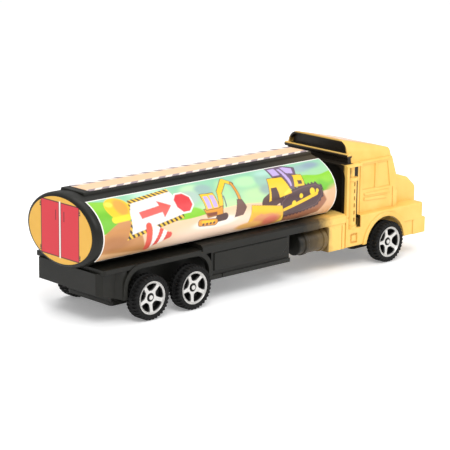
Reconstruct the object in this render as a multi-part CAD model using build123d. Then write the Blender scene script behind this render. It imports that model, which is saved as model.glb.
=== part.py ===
from build123d import *
import math
import os

# Toy tanker truck, millimetres.
# +X is the front of the truck, +Y its left side, +Z up.  The origin lies on the ground under the
# middle of the truck.

# ---- driving dimensions -------------------------------------------------------------------------
REAR_OVERHANG = 28.6            # rear-most axle to the back end of the tank
BOGIE_SPACING = 24.5            # between the two rear axles
WHEELBASE = 125.9               # middle axle to front axle
FRONT_OVERHANG = 30.0           # front axle to the bumper's front face
TRACK_OUTER = 55.0              # over the wheels' outer faces
BODY_HALF_WIDTH = 24.0          # arch lips, side rails, lower cab
CAB_HALF_WIDTH = 21.0           # doors
HOOD_HALF_WIDTH = 17.0
ROOF_PEAK_Z = 61.0

# wheels and axles
WHEEL_R = 10.0
TYRE_WIDTH = 6.9
RIM_R = 7.4
TYRE_EDGE_R = 0.9               # shoulder rounding
AXLE_R = 1.0
AXLE_RUNNING_GAP = 0.06         # radial, axle in its bearing walls
PRESS_GAP = 0.01                # radial, pieces pushed on to each other
HUB_FACE_INSET = 0.5            # hub face behind the tyre's outer side
HUB_DISC_THICK = 1.8
HUB_SLEEVE_R = 2.6
SPOKES = 5
WINDOW_R = 1.75
WINDOW_CIRCLE_R = 4.7
RIM_LIP = 1.0

# tank
TANK_HALF_WIDTH = 24.5
TANK_HALF_HEIGHT = 16.2
TANK_CENTRE_Z = 39.3
TANK_EDGE_R = 1.6
TANK_TO_CAB = 6.3
WALL = 1.6
WALKWAY_HALF_WIDTH = 8.0
WALKWAY_RISE = 0.5
WALKWAY_INSET = 6.5             # from the tank's back end
STICKER_THICK = 0.15
STICKER_GAP = 0.01
SIDE_STICKER_INSET = 3.6
SIDE_STICKER_TOP_Y = 12.5
SIDE_STICKER_LOW_Z = 28.3
TOP_STICKER_HALF_WIDTH = 7.0
TOP_STICKER_INSET = 4.0
TOP_STICKER_FRONT_INSET = 3.0
END_STICKER_INSET = 3.1         # inside the tank's outline, across
END_STICKER_DROP = 1.7          # inside the tank's outline, up and down

# chassis
BODY_BOTTOM_Z = 10.6
DECK_TOP_Z = 25.2
DECK_THICK = 2.0
DECK_REAR_INSET = 4.9           # deck's back edge ahead of the tank's
DECK_HALF_WIDTH = 23.5
RAIL_TOP_Z = 27.2
RAIL_INNER_RISE = 0.7
RAIL_BEHIND_MIDDLE_AXLE = 7.4   # rails start this far ahead of the middle axle
SEAT_GAP = 0.05                 # between mouldings that sit on each other
SKIN_INSET = 0.8                # side skin behind the arch lips
ARCH_LIP = 2.2
ARCH_TOP_Z = 23.0
ARCH_SIDE_GAP = 1.2             # wheel to the arch's ends
ARCH_CORNER_R = 8.0
BEARING_BOX_HALF_WIDTH = 15.0
BEARING_BOX_BOTTOM_Z = 7.9
BEARING_BOX_MARGIN = 13.0       # beyond the outer axles
BASE_THICK = 1.8
SPINE_BOTTOM_Z = 13.0
SKIRT_REAR_LEAN = 1.4
SKIRT_REAR_Z = 14.3

# side furniture, along X from the front axle
PANEL_FRONT = -64.2
PANEL_CHAMFER = 4.0
PANEL_TOP_Z = 22.4
PANEL_LOW_Z = 14.4
PANEL_DEPTH = 0.5
LIP_HEIGHT = 1.9
DRUM_REAR = -57.1
DRUM_FRONT = -38.5
DRUM_R = 5.4
DRUM_STRAP_R = 5.9
DRUM_STRAP = 2.4
BOX_REAR = -38.9
BOX_HALF_DEPTH = 4.0

# cab, along X from the front axle
CAB_REAR = -27.2
STACK_BAY_FRONT = -17.1
STACK_BAY_DEPTH = 3.2
STACK_BAY_FLOOR_Z = 19.5
STACK_R = 3.1
STACK_COLLAR_R = 3.5
STACK_PIPE_R = 2.0
STACK_TOP_Z = 44.0
STACK_HOLES = 6
PILLAR_THICK = 1.6
BACK_WALL = -21.6
DOOR_BOTTOM_Z = 25.2
GUTTER_Z = 50.4
ROOF_REAR = -23.2
ROOF_FRONT = 6.8
ROOF_FRONT_Z = 54.3
ROOF_REAR_CORNER_R = 6.5
ROOF_FRONT_CORNER_R = 2.4
ROOF_SIDE_INSET = 0.7
ROOF_TUMBLE = 1.5
SCOOP_DEPTH = 2.2
SCOOP_WALL = 1.3
SCOOP_FLOOR_Z = 55.0
BAR_LOW_Z = 53.0
BAR_REACH = 1.3
POCKET_CORNER_R = 6.0
SCREEN_FOOT = 11.0
SCREEN_FOOT_Z = 38.6
HOOD_REAR_Z = 40.0
HOOD_BREAK = 23.9
HOOD_BREAK_Z = 36.9
HOOD_FRONT = 28.4
HOOD_NOSE_Z = 33.0
FENDER_TOP_Z = 25.2
FENDER_FRONT = 26.6
BUMPER_TOP_Z = 17.4
BUMPER_LOW_Z = 9.9
BUMPER_STEP = 20.3
BUMPER_CORNER_R = 1.6
FRONT_ARCH_R = 13.4
FRONT_ARCH_CENTRE_Z = 8.8
CAB_LIP_RISE = 0.5
GROOVE = 0.55
GROOVE_DEPTH = 0.5
GLASS_DEPTH = 0.45
SCREW_R = 1.0
SCREW_HEAD_R = 1.9
SCREW_HEAD = 1.0
HEAD_RECESS = 1.1                # depth of the pocket that takes a base screw's head
HEAD_ROOM = 0.2                 # radial, head in its pocket
BOSS_R = 2.6
BOSS_HOLE_GAP = 0.03
BOSS_SINK = 0.5                 # how far a boss merges into the wall beside it

# ---- places worked out from them ----------------------------------------------------------------
LENGTH = REAR_OVERHANG + BOGIE_SPACING + WHEELBASE + FRONT_OVERHANG
REAR_X = -LENGTH / 2
FRONT_X = LENGTH / 2
REAR_AXLE_X = REAR_X + REAR_OVERHANG
MIDDLE_AXLE_X = REAR_AXLE_X + BOGIE_SPACING
FRONT_AXLE_X = MIDDLE_AXLE_X + WHEELBASE
AXLES = {"rear": REAR_AXLE_X, "middle": MIDDLE_AXLE_X, "front": FRONT_AXLE_X}
WHEEL_OUTER_Y = TRACK_OUTER / 2
WHEEL_INNER_Y = WHEEL_OUTER_Y - TYRE_WIDTH
CAB_REAR_X = FRONT_AXLE_X + CAB_REAR
TANK_REAR_X = REAR_X + STICKER_GAP + STICKER_THICK
TANK_FRONT_X = CAB_REAR_X - TANK_TO_CAB
TANK_TOP_Z = TANK_CENTRE_Z + TANK_HALF_HEIGHT
WALKWAY_Z = TANK_TOP_Z + WALKWAY_RISE
DECK_REAR_X = REAR_X + DECK_REAR_INSET
DECK_LOW_Z = DECK_TOP_Z - DECK_THICK
RAIL_X = MIDDLE_AXLE_X + RAIL_BEHIND_MIDDLE_AXLE
SKIN_Y = BODY_HALF_WIDTH - SKIN_INSET
ARCH_X0 = REAR_AXLE_X - WHEEL_R - ARCH_SIDE_GAP
ARCH_X1 = MIDDLE_AXLE_X + WHEEL_R + ARCH_SIDE_GAP
BOGIE_X0 = REAR_AXLE_X - BEARING_BOX_MARGIN
BOGIE_X1 = MIDDLE_AXLE_X + BEARING_BOX_MARGIN
FRONT_BOX_X0 = FRONT_AXLE_X - BEARING_BOX_MARGIN
FRONT_BOX_X1 = FRONT_AXLE_X + BEARING_BOX_MARGIN
BASE_TOP_Z = BEARING_BOX_BOTTOM_Z - SEAT_GAP
BASE_LOW_Z = BASE_TOP_Z - BASE_THICK
EPS = 0.2                       # overlap of pieces that are fused into one moulding


def block(x0, x1, y0, y1, z0, z1):
    """A box from its two corners."""
    return Pos((x0 + x1) / 2, (y0 + y1) / 2, (z0 + z1) / 2) * Box(x1 - x0, y1 - y0, z1 - z0)


def rounded_block(x0, x1, y0, y1, z0, z1, radius, axis):
    """A box whose edges along one axis are rounded."""
    box = block(x0, x1, y0, y1, z0, z1)
    return fillet(box.edges().filter_by(axis), radius)


def side_prism(points, y0, y1):
    """A side outline, given as (x, z) points, carried across from y0 to y1."""
    face = Plane(origin=(0, y1, 0), x_dir=(1, 0, 0), z_dir=(0, -1, 0)) * Polygon(*points, align=None)
    return extrude(face, amount=y1 - y0, dir=(0, -1, 0))


def plan_prism(points, z0, z1):
    """A plan outline, given as (x, y) points, raised from z0 to z1."""
    return extrude(Pos(0, 0, z0) * Polygon(*points, align=None), amount=z1 - z0, dir=(0, 0, 1))


def cross_bar(x, z, radius, y0, y1):
    """A round bar along Y."""
    return Pos(x, (y0 + y1) / 2, z) * Rot(90, 0, 0) * Cylinder(radius, y1 - y0)


def post(x, y, radius, z0, z1):
    """A round post along Z."""
    return Pos(x, y, (z0 + z1) / 2) * Cylinder(radius, z1 - z0)


def both_sides(half):
    """The piece and its mirror image across the truck's middle plane."""
    return half + mirror(half, about=Plane.XZ)


def arch(x0, x1, z0, z1, corner, y0, y1):
    """A doorway outline, square at the foot and rounded at the top, carried across the truck."""
    tunnel = block(x0, x1, y0, y1, z0, z1)
    top = tunnel.edges().filter_by(Axis.Y).group_by(Axis.Z)[-1]
    return fillet(top, corner)


def ellipse_bar(half_width, half_height, x0, x1):
    """A bar of the tank's elliptical section, from x0 to x1."""
    plane = Plane(origin=(x0, 0, TANK_CENTRE_Z), x_dir=(0, 1, 0), z_dir=(1, 0, 0))
    return extrude(plane * Ellipse(half_width, half_height), amount=x1 - x0, dir=(1, 0, 0))


# ---- wheels -------------------------------------------------------------------------------------
def tyre(side):
    """A plain ring with rounded shoulders; side is +1 on the left and -1 on the right."""
    ring = Cylinder(WHEEL_R, TYRE_WIDTH)
    ring = fillet(ring.edges().filter_by(GeomType.CIRCLE), TYRE_EDGE_R)
    ring -= Cylinder(RIM_R + PRESS_GAP, 2 * TYRE_WIDTH)
    middle_y = side * (WHEEL_INNER_Y + WHEEL_OUTER_Y) / 2
    return Pos(0, middle_y, WHEEL_R) * Rot(90, 0, 0) * ring


def hub(side):
    """A dished disc with windows between its spokes, a rim and a sleeve pushed on to the axle."""
    width = TYRE_WIDTH - 2 * HUB_FACE_INSET
    rim = Cylinder(RIM_R, width) - Cylinder(RIM_R - RIM_LIP, 2 * width)
    disc = Pos(0, 0, width / 2 - HUB_DISC_THICK) * Cylinder(RIM_R - RIM_LIP + EPS, HUB_DISC_THICK)
    sleeve = Cylinder(HUB_SLEEVE_R, width)
    for spoke in range(SPOKES):
        turn = Rot(0, 0, 360 / SPOKES * (spoke + 0.5))
        disc -= turn * Pos(WINDOW_CIRCLE_R, 0, width / 2) * Cylinder(WINDOW_R, 4 * HUB_DISC_THICK)
    wheel = rim + disc + sleeve
    wheel -= Pos(0, 0, -width / 2) * Cylinder(AXLE_R + PRESS_GAP, 2 * width - 2 * HUB_DISC_THICK)
    wheel = Rot(-90 * side, 0, 0) * wheel
    return Pos(0, side * (WHEEL_INNER_Y + WHEEL_OUTER_Y) / 2, WHEEL_R) * wheel


def axle():
    """A steel rod that ends inside the two hubs."""
    reach = WHEEL_OUTER_Y - HUB_FACE_INSET - HUB_DISC_THICK - SEAT_GAP
    return cross_bar(0, WHEEL_R, AXLE_R, -reach, reach)


# ---- tank ---------------------------------------------------------------------------------------
def tank_outside():
    """The elliptical tank with its rounded back rim and the raised walkway on top."""
    body = ellipse_bar(TANK_HALF_WIDTH, TANK_HALF_HEIGHT, TANK_REAR_X, TANK_FRONT_X)
    rims = body.edges().filter_by(lambda edge: edge.geom_type == GeomType.ELLIPSE)
    body = fillet(rims, TANK_EDGE_R)
    walkway = rounded_block(TANK_REAR_X + WALKWAY_INSET, TANK_FRONT_X - TANK_EDGE_R,
                            -WALKWAY_HALF_WIDTH, WALKWAY_HALF_WIDTH,
                            TANK_CENTRE_Z, WALKWAY_Z, TANK_EDGE_R / 2, Axis.X)
    return body + walkway


def boss_places():
    """Where the tank's screw bosses stand."""
    span = TANK_FRONT_X - DECK_REAR_X
    return [DECK_REAR_X + span * share for share in (0.3, 0.62, 0.9)]


def tank_shell():
    """A thin-walled shell, open underneath where it sits on the deck."""
    shell = tank_outside()
    shell -= ellipse_bar(TANK_HALF_WIDTH - WALL, TANK_HALF_HEIGHT - WALL,
                         TANK_REAR_X + WALL, TANK_FRONT_X - WALL)
    seat_z = DECK_TOP_Z + SEAT_GAP
    shell -= block(DECK_REAR_X - SEAT_GAP, FRONT_X, -BODY_HALF_WIDTH, BODY_HALF_WIDTH, 0, seat_z)
    top_z = TANK_TOP_Z - WALL / 2
    for x in boss_places():
        boss = post(x, 0, BOSS_R, seat_z, top_z)
        shell += boss - post(x, 0, SCREW_R + BOSS_HOLE_GAP, 0, seat_z + 4 * SCREW_R)
    return shell


def side_sticker(side):
    """A printed sheet that follows the tank's flank."""
    sheet = ellipse_bar(TANK_HALF_WIDTH + STICKER_GAP + STICKER_THICK,
                        TANK_HALF_HEIGHT + STICKER_GAP + STICKER_THICK,
                        TANK_REAR_X + SIDE_STICKER_INSET, TANK_FRONT_X - TANK_EDGE_R)
    sheet -= ellipse_bar(TANK_HALF_WIDTH + STICKER_GAP, TANK_HALF_HEIGHT + STICKER_GAP, REAR_X, FRONT_X)
    far = 2 * TANK_HALF_WIDTH
    low, high = (SIDE_STICKER_TOP_Y, far) if side > 0 else (-far, -SIDE_STICKER_TOP_Y)
    return sheet & block(REAR_X, FRONT_X, low, high, SIDE_STICKER_LOW_Z, ROOF_PEAK_Z)


def top_sticker():
    """A printed strip along the walkway."""
    low_z = WALKWAY_Z + STICKER_GAP
    return block(TANK_REAR_X + WALKWAY_INSET + TOP_STICKER_INSET, TANK_FRONT_X - TOP_STICKER_FRONT_INSET,
                 -TOP_STICKER_HALF_WIDTH, TOP_STICKER_HALF_WIDTH, low_z, low_z + STICKER_THICK)


def rear_sticker():
    """A printed ellipse on the tank's back end."""
    return ellipse_bar(TANK_HALF_WIDTH - END_STICKER_INSET, TANK_HALF_HEIGHT - END_STICKER_DROP,
                       REAR_X, REAR_X + STICKER_THICK)


# ---- chassis ------------------------------------------------------------------------------------
def rear_skirt():
    """The boxed-in tail below the deck, narrower at the back, with a sloping lower edge."""
    flank = SKIN_Y - 2.2
    plan = [(DECK_REAR_X - SKIRT_REAR_LEAN, -flank + 1.5), (DECK_REAR_X + 1.5, -flank),
            (ARCH_X0 - 4.5, -flank), (ARCH_X0 - ARCH_LIP, -SKIN_Y), (ARCH_X0 + EPS, -SKIN_Y)]
    plan += [(x, -y) for x, y in reversed(plan)]
    outside = plan_prism(plan, BODY_BOTTOM_Z, DECK_LOW_Z + EPS)
    hollow = block(DECK_REAR_X - SKIRT_REAR_LEAN + WALL, ARCH_X0 + 1, -flank + WALL, flank - WALL,
                   0, DECK_LOW_Z)
    slope = side_prism([(DECK_REAR_X - 3, SKIRT_REAR_Z), (ARCH_X0 - ARCH_LIP, BODY_BOTTOM_Z),
                        (ARCH_X0 - ARCH_LIP, 0), (DECK_REAR_X - 3, 0)], -BODY_HALF_WIDTH, BODY_HALF_WIDTH)
    room = ellipse_bar(TANK_HALF_WIDTH + SEAT_GAP, TANK_HALF_HEIGHT + SEAT_GAP,
                       REAR_X, DECK_REAR_X)
    return outside - hollow - slope - room


def rear_arches():
    """The side skin around the pair of rear wheels, with its raised lip, on the right side."""
    y0, y1 = -BODY_HALF_WIDTH, -SKIN_Y + WALL
    lip = arch(ARCH_X0 - ARCH_LIP, ARCH_X1 + ARCH_LIP, BODY_BOTTOM_Z, ARCH_TOP_Z + ARCH_LIP,
               ARCH_CORNER_R + ARCH_LIP, y0, y1)
    opening = arch(ARCH_X0, ARCH_X1, 0, ARCH_TOP_Z, ARCH_CORNER_R, 2 * y0, -BEARING_BOX_HALF_WIDTH)
    return lip - opening


def side_panel():
    """The skin between the rear arch and the drum, with a framed panel and a lower lip."""
    x0 = ARCH_X1 + ARCH_LIP - EPS
    x1 = FRONT_AXLE_X + PANEL_FRONT
    wall = side_prism([(x0, BODY_BOTTOM_Z), (x1, BODY_BOTTOM_Z), (x1, DECK_LOW_Z + EPS),
                       (x0, DECK_LOW_Z + EPS)], -SKIN_Y, -SKIN_Y + WALL)
    c = PANEL_CHAMFER
    edge = 1.6
    frame = side_prism([(x0 + edge, PANEL_LOW_Z), (x1 - edge - c, PANEL_LOW_Z),
                        (x1 - edge, PANEL_LOW_Z + c), (x1 - edge, PANEL_TOP_Z), (x0 + edge, PANEL_TOP_Z)],
                       -SKIN_Y - PANEL_DEPTH, -SKIN_Y + EPS)
    lip = block(x0, x1, -BODY_HALF_WIDTH, -SKIN_Y + EPS, BODY_BOTTOM_Z, BODY_BOTTOM_Z + LIP_HEIGHT)
    seam_x = ARCH_X1 + 3.5 * ARCH_LIP
    lip -= block(seam_x, seam_x + GROOVE, -2 * BODY_HALF_WIDTH, -SKIN_Y, 0, BODY_BOTTOM_Z + LIP_HEIGHT + 1)
    return wall + frame + lip


def drum():
    """The round fuel drum under the rail, with two straps and a block that joins it to the rail."""
    y = -BODY_HALF_WIDTH + DRUM_STRAP_R
    z = BODY_BOTTOM_Z + DRUM_STRAP_R
    x0, x1 = FRONT_AXLE_X + DRUM_REAR, FRONT_AXLE_X + DRUM_FRONT

    def ring(a, b, radius):
        return Pos((a + b) / 2, y, z) * Rot(0, 90, 0) * Cylinder(radius, b - a)

    shape = fillet(ring(x0, x1, DRUM_R).edges().filter_by(GeomType.CIRCLE), 0.6)
    for start in (x0 + 3.6, x1 - DRUM_STRAP - 0.8):
        shape += fillet(ring(start, start + DRUM_STRAP, DRUM_STRAP_R).edges().filter_by(GeomType.CIRCLE), 0.4)
    return shape + block(x0 + 3, x1 - 1, y - 2, y + 2, z, DECK_LOW_Z + EPS)


def tool_box():
    """The step box between the drum and the cab."""
    x0, x1 = FRONT_AXLE_X + BOX_REAR, CAB_REAR_X - SEAT_GAP
    box = block(x0, x1, -BODY_HALF_WIDTH + 0.4, -BODY_HALF_WIDTH + 2 * BOX_HALF_DEPTH,
                BODY_BOTTOM_Z, DECK_LOW_Z + EPS)
    box = fillet(box.edges().filter_by(Axis.Z).group_by(Axis.Y)[0], 0.6)
    seam_x = x1 - 2.6
    return box - block(seam_x, seam_x + GROOVE, -2 * BODY_HALF_WIDTH, -BODY_HALF_WIDTH + 1,
                       0, DECK_LOW_Z - 1)


def rail():
    """The raised saddle along the tank's foot, sloping up to meet it."""
    inner = -TANK_HALF_WIDTH / 2
    plane = Plane(origin=(RAIL_X, 0, 0), x_dir=(0, 1, 0), z_dir=(1, 0, 0))
    outline = Polygon((-BODY_HALF_WIDTH, DECK_LOW_Z), (inner, DECK_LOW_Z),
                      (inner, RAIL_TOP_Z + RAIL_INNER_RISE), (-BODY_HALF_WIDTH + 1.2, RAIL_TOP_Z),
                      (-BODY_HALF_WIDTH, RAIL_TOP_Z - 1.0), align=None)
    saddle = extrude(plane * outline, amount=CAB_REAR_X - SEAT_GAP - RAIL_X, dir=(1, 0, 0))
    room = ellipse_bar(TANK_HALF_WIDTH + 2 * SEAT_GAP, TANK_HALF_HEIGHT + 2 * SEAT_GAP,
                       REAR_X, TANK_FRONT_X + 2 * SEAT_GAP)
    sticker = ellipse_bar(TANK_HALF_WIDTH + STICKER_THICK + 2 * SEAT_GAP,
                          TANK_HALF_HEIGHT + STICKER_THICK + 2 * SEAT_GAP, REAR_X, TANK_FRONT_X)
    inside = block(REAR_X, FRONT_X, inner - 1, 0, DECK_TOP_Z, ROOF_PEAK_Z)
    return saddle - room - inside - (sticker & block(REAR_X, FRONT_X, -BODY_HALF_WIDTH, 0,
                                                     SIDE_STICKER_LOW_Z - 1, ROOF_PEAK_Z))


def bearing_box(x0, x1, axle_places):
    """A box open underneath whose side walls carry the axles."""
    y = BEARING_BOX_HALF_WIDTH
    box = block(x0, x1, -y, y, BEARING_BOX_BOTTOM_Z, DECK_LOW_Z + EPS)
    box -= block(x0 + WALL, x1 - WALL, -y + WALL, y - WALL, 0, DECK_LOW_Z)
    for x in axle_places:
        box -= cross_bar(x, WHEEL_R, AXLE_R + AXLE_RUNNING_GAP, -2 * y, 2 * y)
    return box


def base_screw_places():
    """Where the two base plates are screwed on, as (x, y)."""
    inset = WALL + BOSS_R - BOSS_SINK
    return [(x, 0) for x in (BOGIE_X0 + inset, BOGIE_X1 - inset, FRONT_BOX_X0 + inset, FRONT_BOX_X1 - inset)]


def cab_screw_places():
    """Where the cab is screwed to the deck, as (x, y)."""
    return [(FRONT_AXLE_X, side * BEARING_BOX_HALF_WIDTH / 2) for side in (-1, 1)]


def chassis_frame():
    """The deck and everything moulded in one piece with it."""
    deck = rounded_block(DECK_REAR_X, CAB_REAR_X - SEAT_GAP, -DECK_HALF_WIDTH, DECK_HALF_WIDTH,
                         DECK_LOW_Z, DECK_TOP_Z, 1.2, Axis.Z)
    nose_x = FRONT_AXLE_X + FENDER_FRONT - 3 * WALL
    tongue = block(CAB_REAR_X - 1, nose_x, -BEARING_BOX_HALF_WIDTH, BEARING_BOX_HALF_WIDTH,
                   DECK_LOW_Z, DECK_TOP_Z)
    spine = block(BOGIE_X1 - 1, FRONT_BOX_X0 + 1, -BEARING_BOX_HALF_WIDTH, BEARING_BOX_HALF_WIDTH,
                  SPINE_BOTTOM_Z, DECK_LOW_Z + EPS)
    spine -= block(BOGIE_X1 - 2, FRONT_BOX_X0 + 2, -BEARING_BOX_HALF_WIDTH + WALL,
                   BEARING_BOX_HALF_WIDTH - WALL, 0, DECK_LOW_Z)
    frame = deck + tongue + spine + rear_skirt()
    frame += bearing_box(BOGIE_X0, BOGIE_X1, (REAR_AXLE_X, MIDDLE_AXLE_X))
    frame += bearing_box(FRONT_BOX_X0, FRONT_BOX_X1, (FRONT_AXLE_X,))
    frame += both_sides(rear_arches() + side_panel() + rail())
    frame += both_sides(drum())
    frame += both_sides(tool_box())
    for x, y in base_screw_places():
        frame += post(x, y, BOSS_R, BEARING_BOX_BOTTOM_Z, DECK_LOW_Z + EPS)
        frame -= post(x, y, SCREW_R + BOSS_HOLE_GAP, 0, BEARING_BOX_BOTTOM_Z + 6 * SCREW_R)
    for x, y in [(x, 0) for x in boss_places()] + cab_screw_places():
        frame -= post(x, y, SCREW_R + BOSS_HOLE_GAP, DECK_LOW_Z - 1, DECK_TOP_Z + 1)
    return frame


def base_plate(x0, x1):
    """The flat cover screwed under a bearing box."""
    y = BEARING_BOX_HALF_WIDTH
    plate = rounded_block(x0, x1, -y, y, BASE_LOW_Z, BASE_TOP_Z, 1.5, Axis.Z)
    for x, y in base_screw_places():
        plate -= post(x, y, SCREW_R + BOSS_HOLE_GAP, 0, WHEEL_R)
        plate -= post(x, y, SCREW_HEAD_R + HEAD_ROOM, 0, BASE_LOW_Z + HEAD_RECESS)
    return plate


def screw(x, y, seat_z, reach):
    """A pan-head screw whose head lies under seat_z and whose shank goes up through it."""
    head = post(x, y, SCREW_HEAD_R, seat_z - SCREW_HEAD - SEAT_GAP, seat_z - SEAT_GAP)
    head = fillet(head.edges().filter_by(GeomType.CIRCLE).group_by(Axis.Z)[0], SCREW_HEAD / 3)
    head -= block(x - SCREW_R, x + SCREW_R, y - 0.25, y + 0.25, 0, seat_z - SCREW_HEAD / 2)
    return head + post(x, y, SCREW_R, seat_z - SEAT_GAP - EPS, seat_z + reach)


def base_screws():
    seat_z = BASE_LOW_Z + HEAD_RECESS
    reach = BASE_THICK - HEAD_RECESS + 4 * SCREW_R
    return Compound([screw(x, y, seat_z, reach).solid() for x, y in base_screw_places()])


def tank_screws():
    return Compound([screw(x, 0, DECK_LOW_Z, DECK_THICK + 3 * SCREW_R).solid() for x in boss_places()])


def cab_screws():
    return Compound([screw(x, y, DECK_LOW_Z, DECK_THICK + 3 * SCREW_R).solid() for x, y in cab_screw_places()])


# ---- cab ----------------------------------------------------------------------------------------
def fx(offset):
    """An X place given from the front axle."""
    return FRONT_AXLE_X + offset


def roof_z(x):
    """Height of the sloping roof at x."""
    share = (x - fx(ROOF_REAR)) / (ROOF_FRONT - ROOF_REAR)
    return ROOF_PEAK_Z + share * (ROOF_FRONT_Z - ROOF_PEAK_Z)


def roof_section(x, top_z, corner, inset=0.0, low_z=GUTTER_Z):
    """The roof's outline across the cab at x: sides that lean in and a top with rounded corners."""
    half = CAB_HALF_WIDTH - ROOF_SIDE_INSET - inset
    plane = Plane(origin=(x, 0, 0), x_dir=(0, 1, 0), z_dir=(1, 0, 0))
    outline = Polygon((-half, low_z), (half, low_z), (half - ROOF_TUMBLE, top_z),
                      (-half + ROOF_TUMBLE, top_z), align=None)
    outline = plane * outline
    tops = outline.vertices().group_by(Axis.Z)[-1]
    return fillet(tops, corner)


def roof():
    """The high roof, tallest at the back, with a scoop behind and a bar under the scoop."""
    shape = loft([roof_section(fx(ROOF_REAR), ROOF_PEAK_Z, ROOF_REAR_CORNER_R),
                  roof_section(fx(ROOF_FRONT), ROOF_FRONT_Z, ROOF_FRONT_CORNER_R)])
    scoop = roof_section(fx(ROOF_REAR) - 1, ROOF_PEAK_Z - SCOOP_WALL, ROOF_REAR_CORNER_R - SCOOP_WALL,
                         SCOOP_WALL, SCOOP_FLOOR_Z)
    shape -= extrude(scoop, amount=SCOOP_DEPTH + 1, dir=(1, 0, 0))
    bar = rounded_block(fx(ROOF_REAR) - BAR_REACH, fx(ROOF_REAR) + 2, -CAB_HALF_WIDTH, CAB_HALF_WIDTH,
                        BAR_LOW_Z, SCOOP_FLOOR_Z, 0.9, Axis.Y)
    return shape + bar


def door_block():
    """The cab proper: doors, sloping windscreen, and the wider bays at the back for the stacks."""
    outline = [(fx(CAB_REAR), DOOR_BOTTOM_Z - EPS), (fx(CAB_REAR), GUTTER_Z), (fx(ROOF_FRONT), GUTTER_Z),
               (fx(SCREEN_FOOT), SCREEN_FOOT_Z), (fx(SCREEN_FOOT), DOOR_BOTTOM_Z - EPS)]
    doors = side_prism(outline, -CAB_HALF_WIDTH, CAB_HALF_WIDTH)
    bays = rounded_block(fx(CAB_REAR), fx(STACK_BAY_FRONT), -BODY_HALF_WIDTH, BODY_HALF_WIDTH,
                         DOOR_BOTTOM_Z - EPS, GUTTER_Z, 0.8, Axis.X)
    return doors + bays + block(fx(ROOF_REAR), fx(ROOF_FRONT), -CAB_HALF_WIDTH + ROOF_SIDE_INSET,
                                CAB_HALF_WIDTH - ROOF_SIDE_INSET, GUTTER_Z - 1, GUTTER_Z + EPS)


def hood_outline(inset):
    """The hood's side outline, drawn in by inset for its hollow."""
    foot_z = BUMPER_TOP_Z - EPS
    return [(fx(SCREEN_FOOT) - 2, foot_z), (fx(SCREEN_FOOT) - 2, HOOD_REAR_Z - inset),
            (fx(SCREEN_FOOT) + 3, HOOD_REAR_Z - inset), (fx(HOOD_BREAK), HOOD_BREAK_Z - inset),
            (fx(HOOD_FRONT) - inset, HOOD_NOSE_Z - inset), (fx(HOOD_FRONT) - inset, foot_z)]


def hood():
    """The bonnet, with its long top edges rounded."""
    shape = side_prism(hood_outline(0), -HOOD_HALF_WIDTH, HOOD_HALF_WIDTH)
    longs = shape.edges().filter_by(lambda edge: abs(edge.center().Y) > HOOD_HALF_WIDTH - 0.1
                                    and edge.center().Z > HOOD_NOSE_Z - 1)
    return fillet(longs, 1.8)


def lower_cab():
    """Fenders, lower sides and bumper."""
    body = rounded_block(fx(CAB_REAR), fx(FENDER_FRONT), -BODY_HALF_WIDTH, BODY_HALF_WIDTH,
                         BODY_BOTTOM_Z, FENDER_TOP_Z, 1.0, Axis.X)
    body = body - block(fx(FRONT_ARCH_R), fx(FRONT_OVERHANG), -BODY_HALF_WIDTH - 1, BODY_HALF_WIDTH + 1,
                        0, BUMPER_TOP_Z - EPS)
    bumper = block(fx(FRONT_ARCH_R) + 0.6, fx(FRONT_OVERHANG), -BODY_HALF_WIDTH, BODY_HALF_WIDTH,
                   BUMPER_LOW_Z, BUMPER_TOP_Z)
    bumper = fillet(bumper.edges().filter_by(Axis.Z).group_by(Axis.X)[-1], BUMPER_CORNER_R)
    bumper = fillet(bumper.edges().group_by(Axis.Z)[-1], 0.5)
    step = block(fx(FRONT_ARCH_R), fx(BUMPER_STEP), -BODY_HALF_WIDTH - 1, -BODY_HALF_WIDTH + 0.5, 0, BUMPER_TOP_Z + 1)
    bumper -= both_sides(step)
    lip = both_sides(cross_bar(FRONT_AXLE_X, FRONT_ARCH_CENTRE_Z, FRONT_ARCH_R + ARCH_LIP,
                               -BODY_HALF_WIDTH - CAB_LIP_RISE, -BODY_HALF_WIDTH + WALL))
    lip -= block(fx(-2 * WHEEL_R), fx(2 * WHEEL_R), -BODY_HALF_WIDTH - 1, BODY_HALF_WIDTH + 1,
                 -2 * WHEEL_R, BODY_BOTTOM_Z)
    return body + bumper + lip


def cab_hollow():
    """What is left out inside the cab, open underneath."""
    w = WALL
    hollow = block(fx(BACK_WALL) + w, fx(FENDER_FRONT) - w, -BODY_HALF_WIDTH + w, BODY_HALF_WIDTH - w,
                   0, FENDER_TOP_Z - w)
    hollow += side_prism([(fx(BACK_WALL) + w, FENDER_TOP_Z - w - 1), (fx(BACK_WALL) + w, GUTTER_Z - w),
                          (fx(ROOF_FRONT) - w, GUTTER_Z - w), (fx(SCREEN_FOOT) - w, SCREEN_FOOT_Z - w / 2),
                          (fx(SCREEN_FOOT) - w, FENDER_TOP_Z - w - 1)],
                         -CAB_HALF_WIDTH + STACK_BAY_DEPTH + w, CAB_HALF_WIDTH - STACK_BAY_DEPTH - w)
    hollow += side_prism([(x, z) for x, z in hood_outline(w)], -HOOD_HALF_WIDTH + w, HOOD_HALF_WIDTH - w)
    wheel_room = block(fx(CAB_REAR) - 1, fx(BACK_WALL) + w + 1, -BEARING_BOX_HALF_WIDTH - SEAT_GAP,
                       BEARING_BOX_HALF_WIDTH + SEAT_GAP, 0, DECK_TOP_Z + SEAT_GAP)
    return hollow + wheel_room


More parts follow.
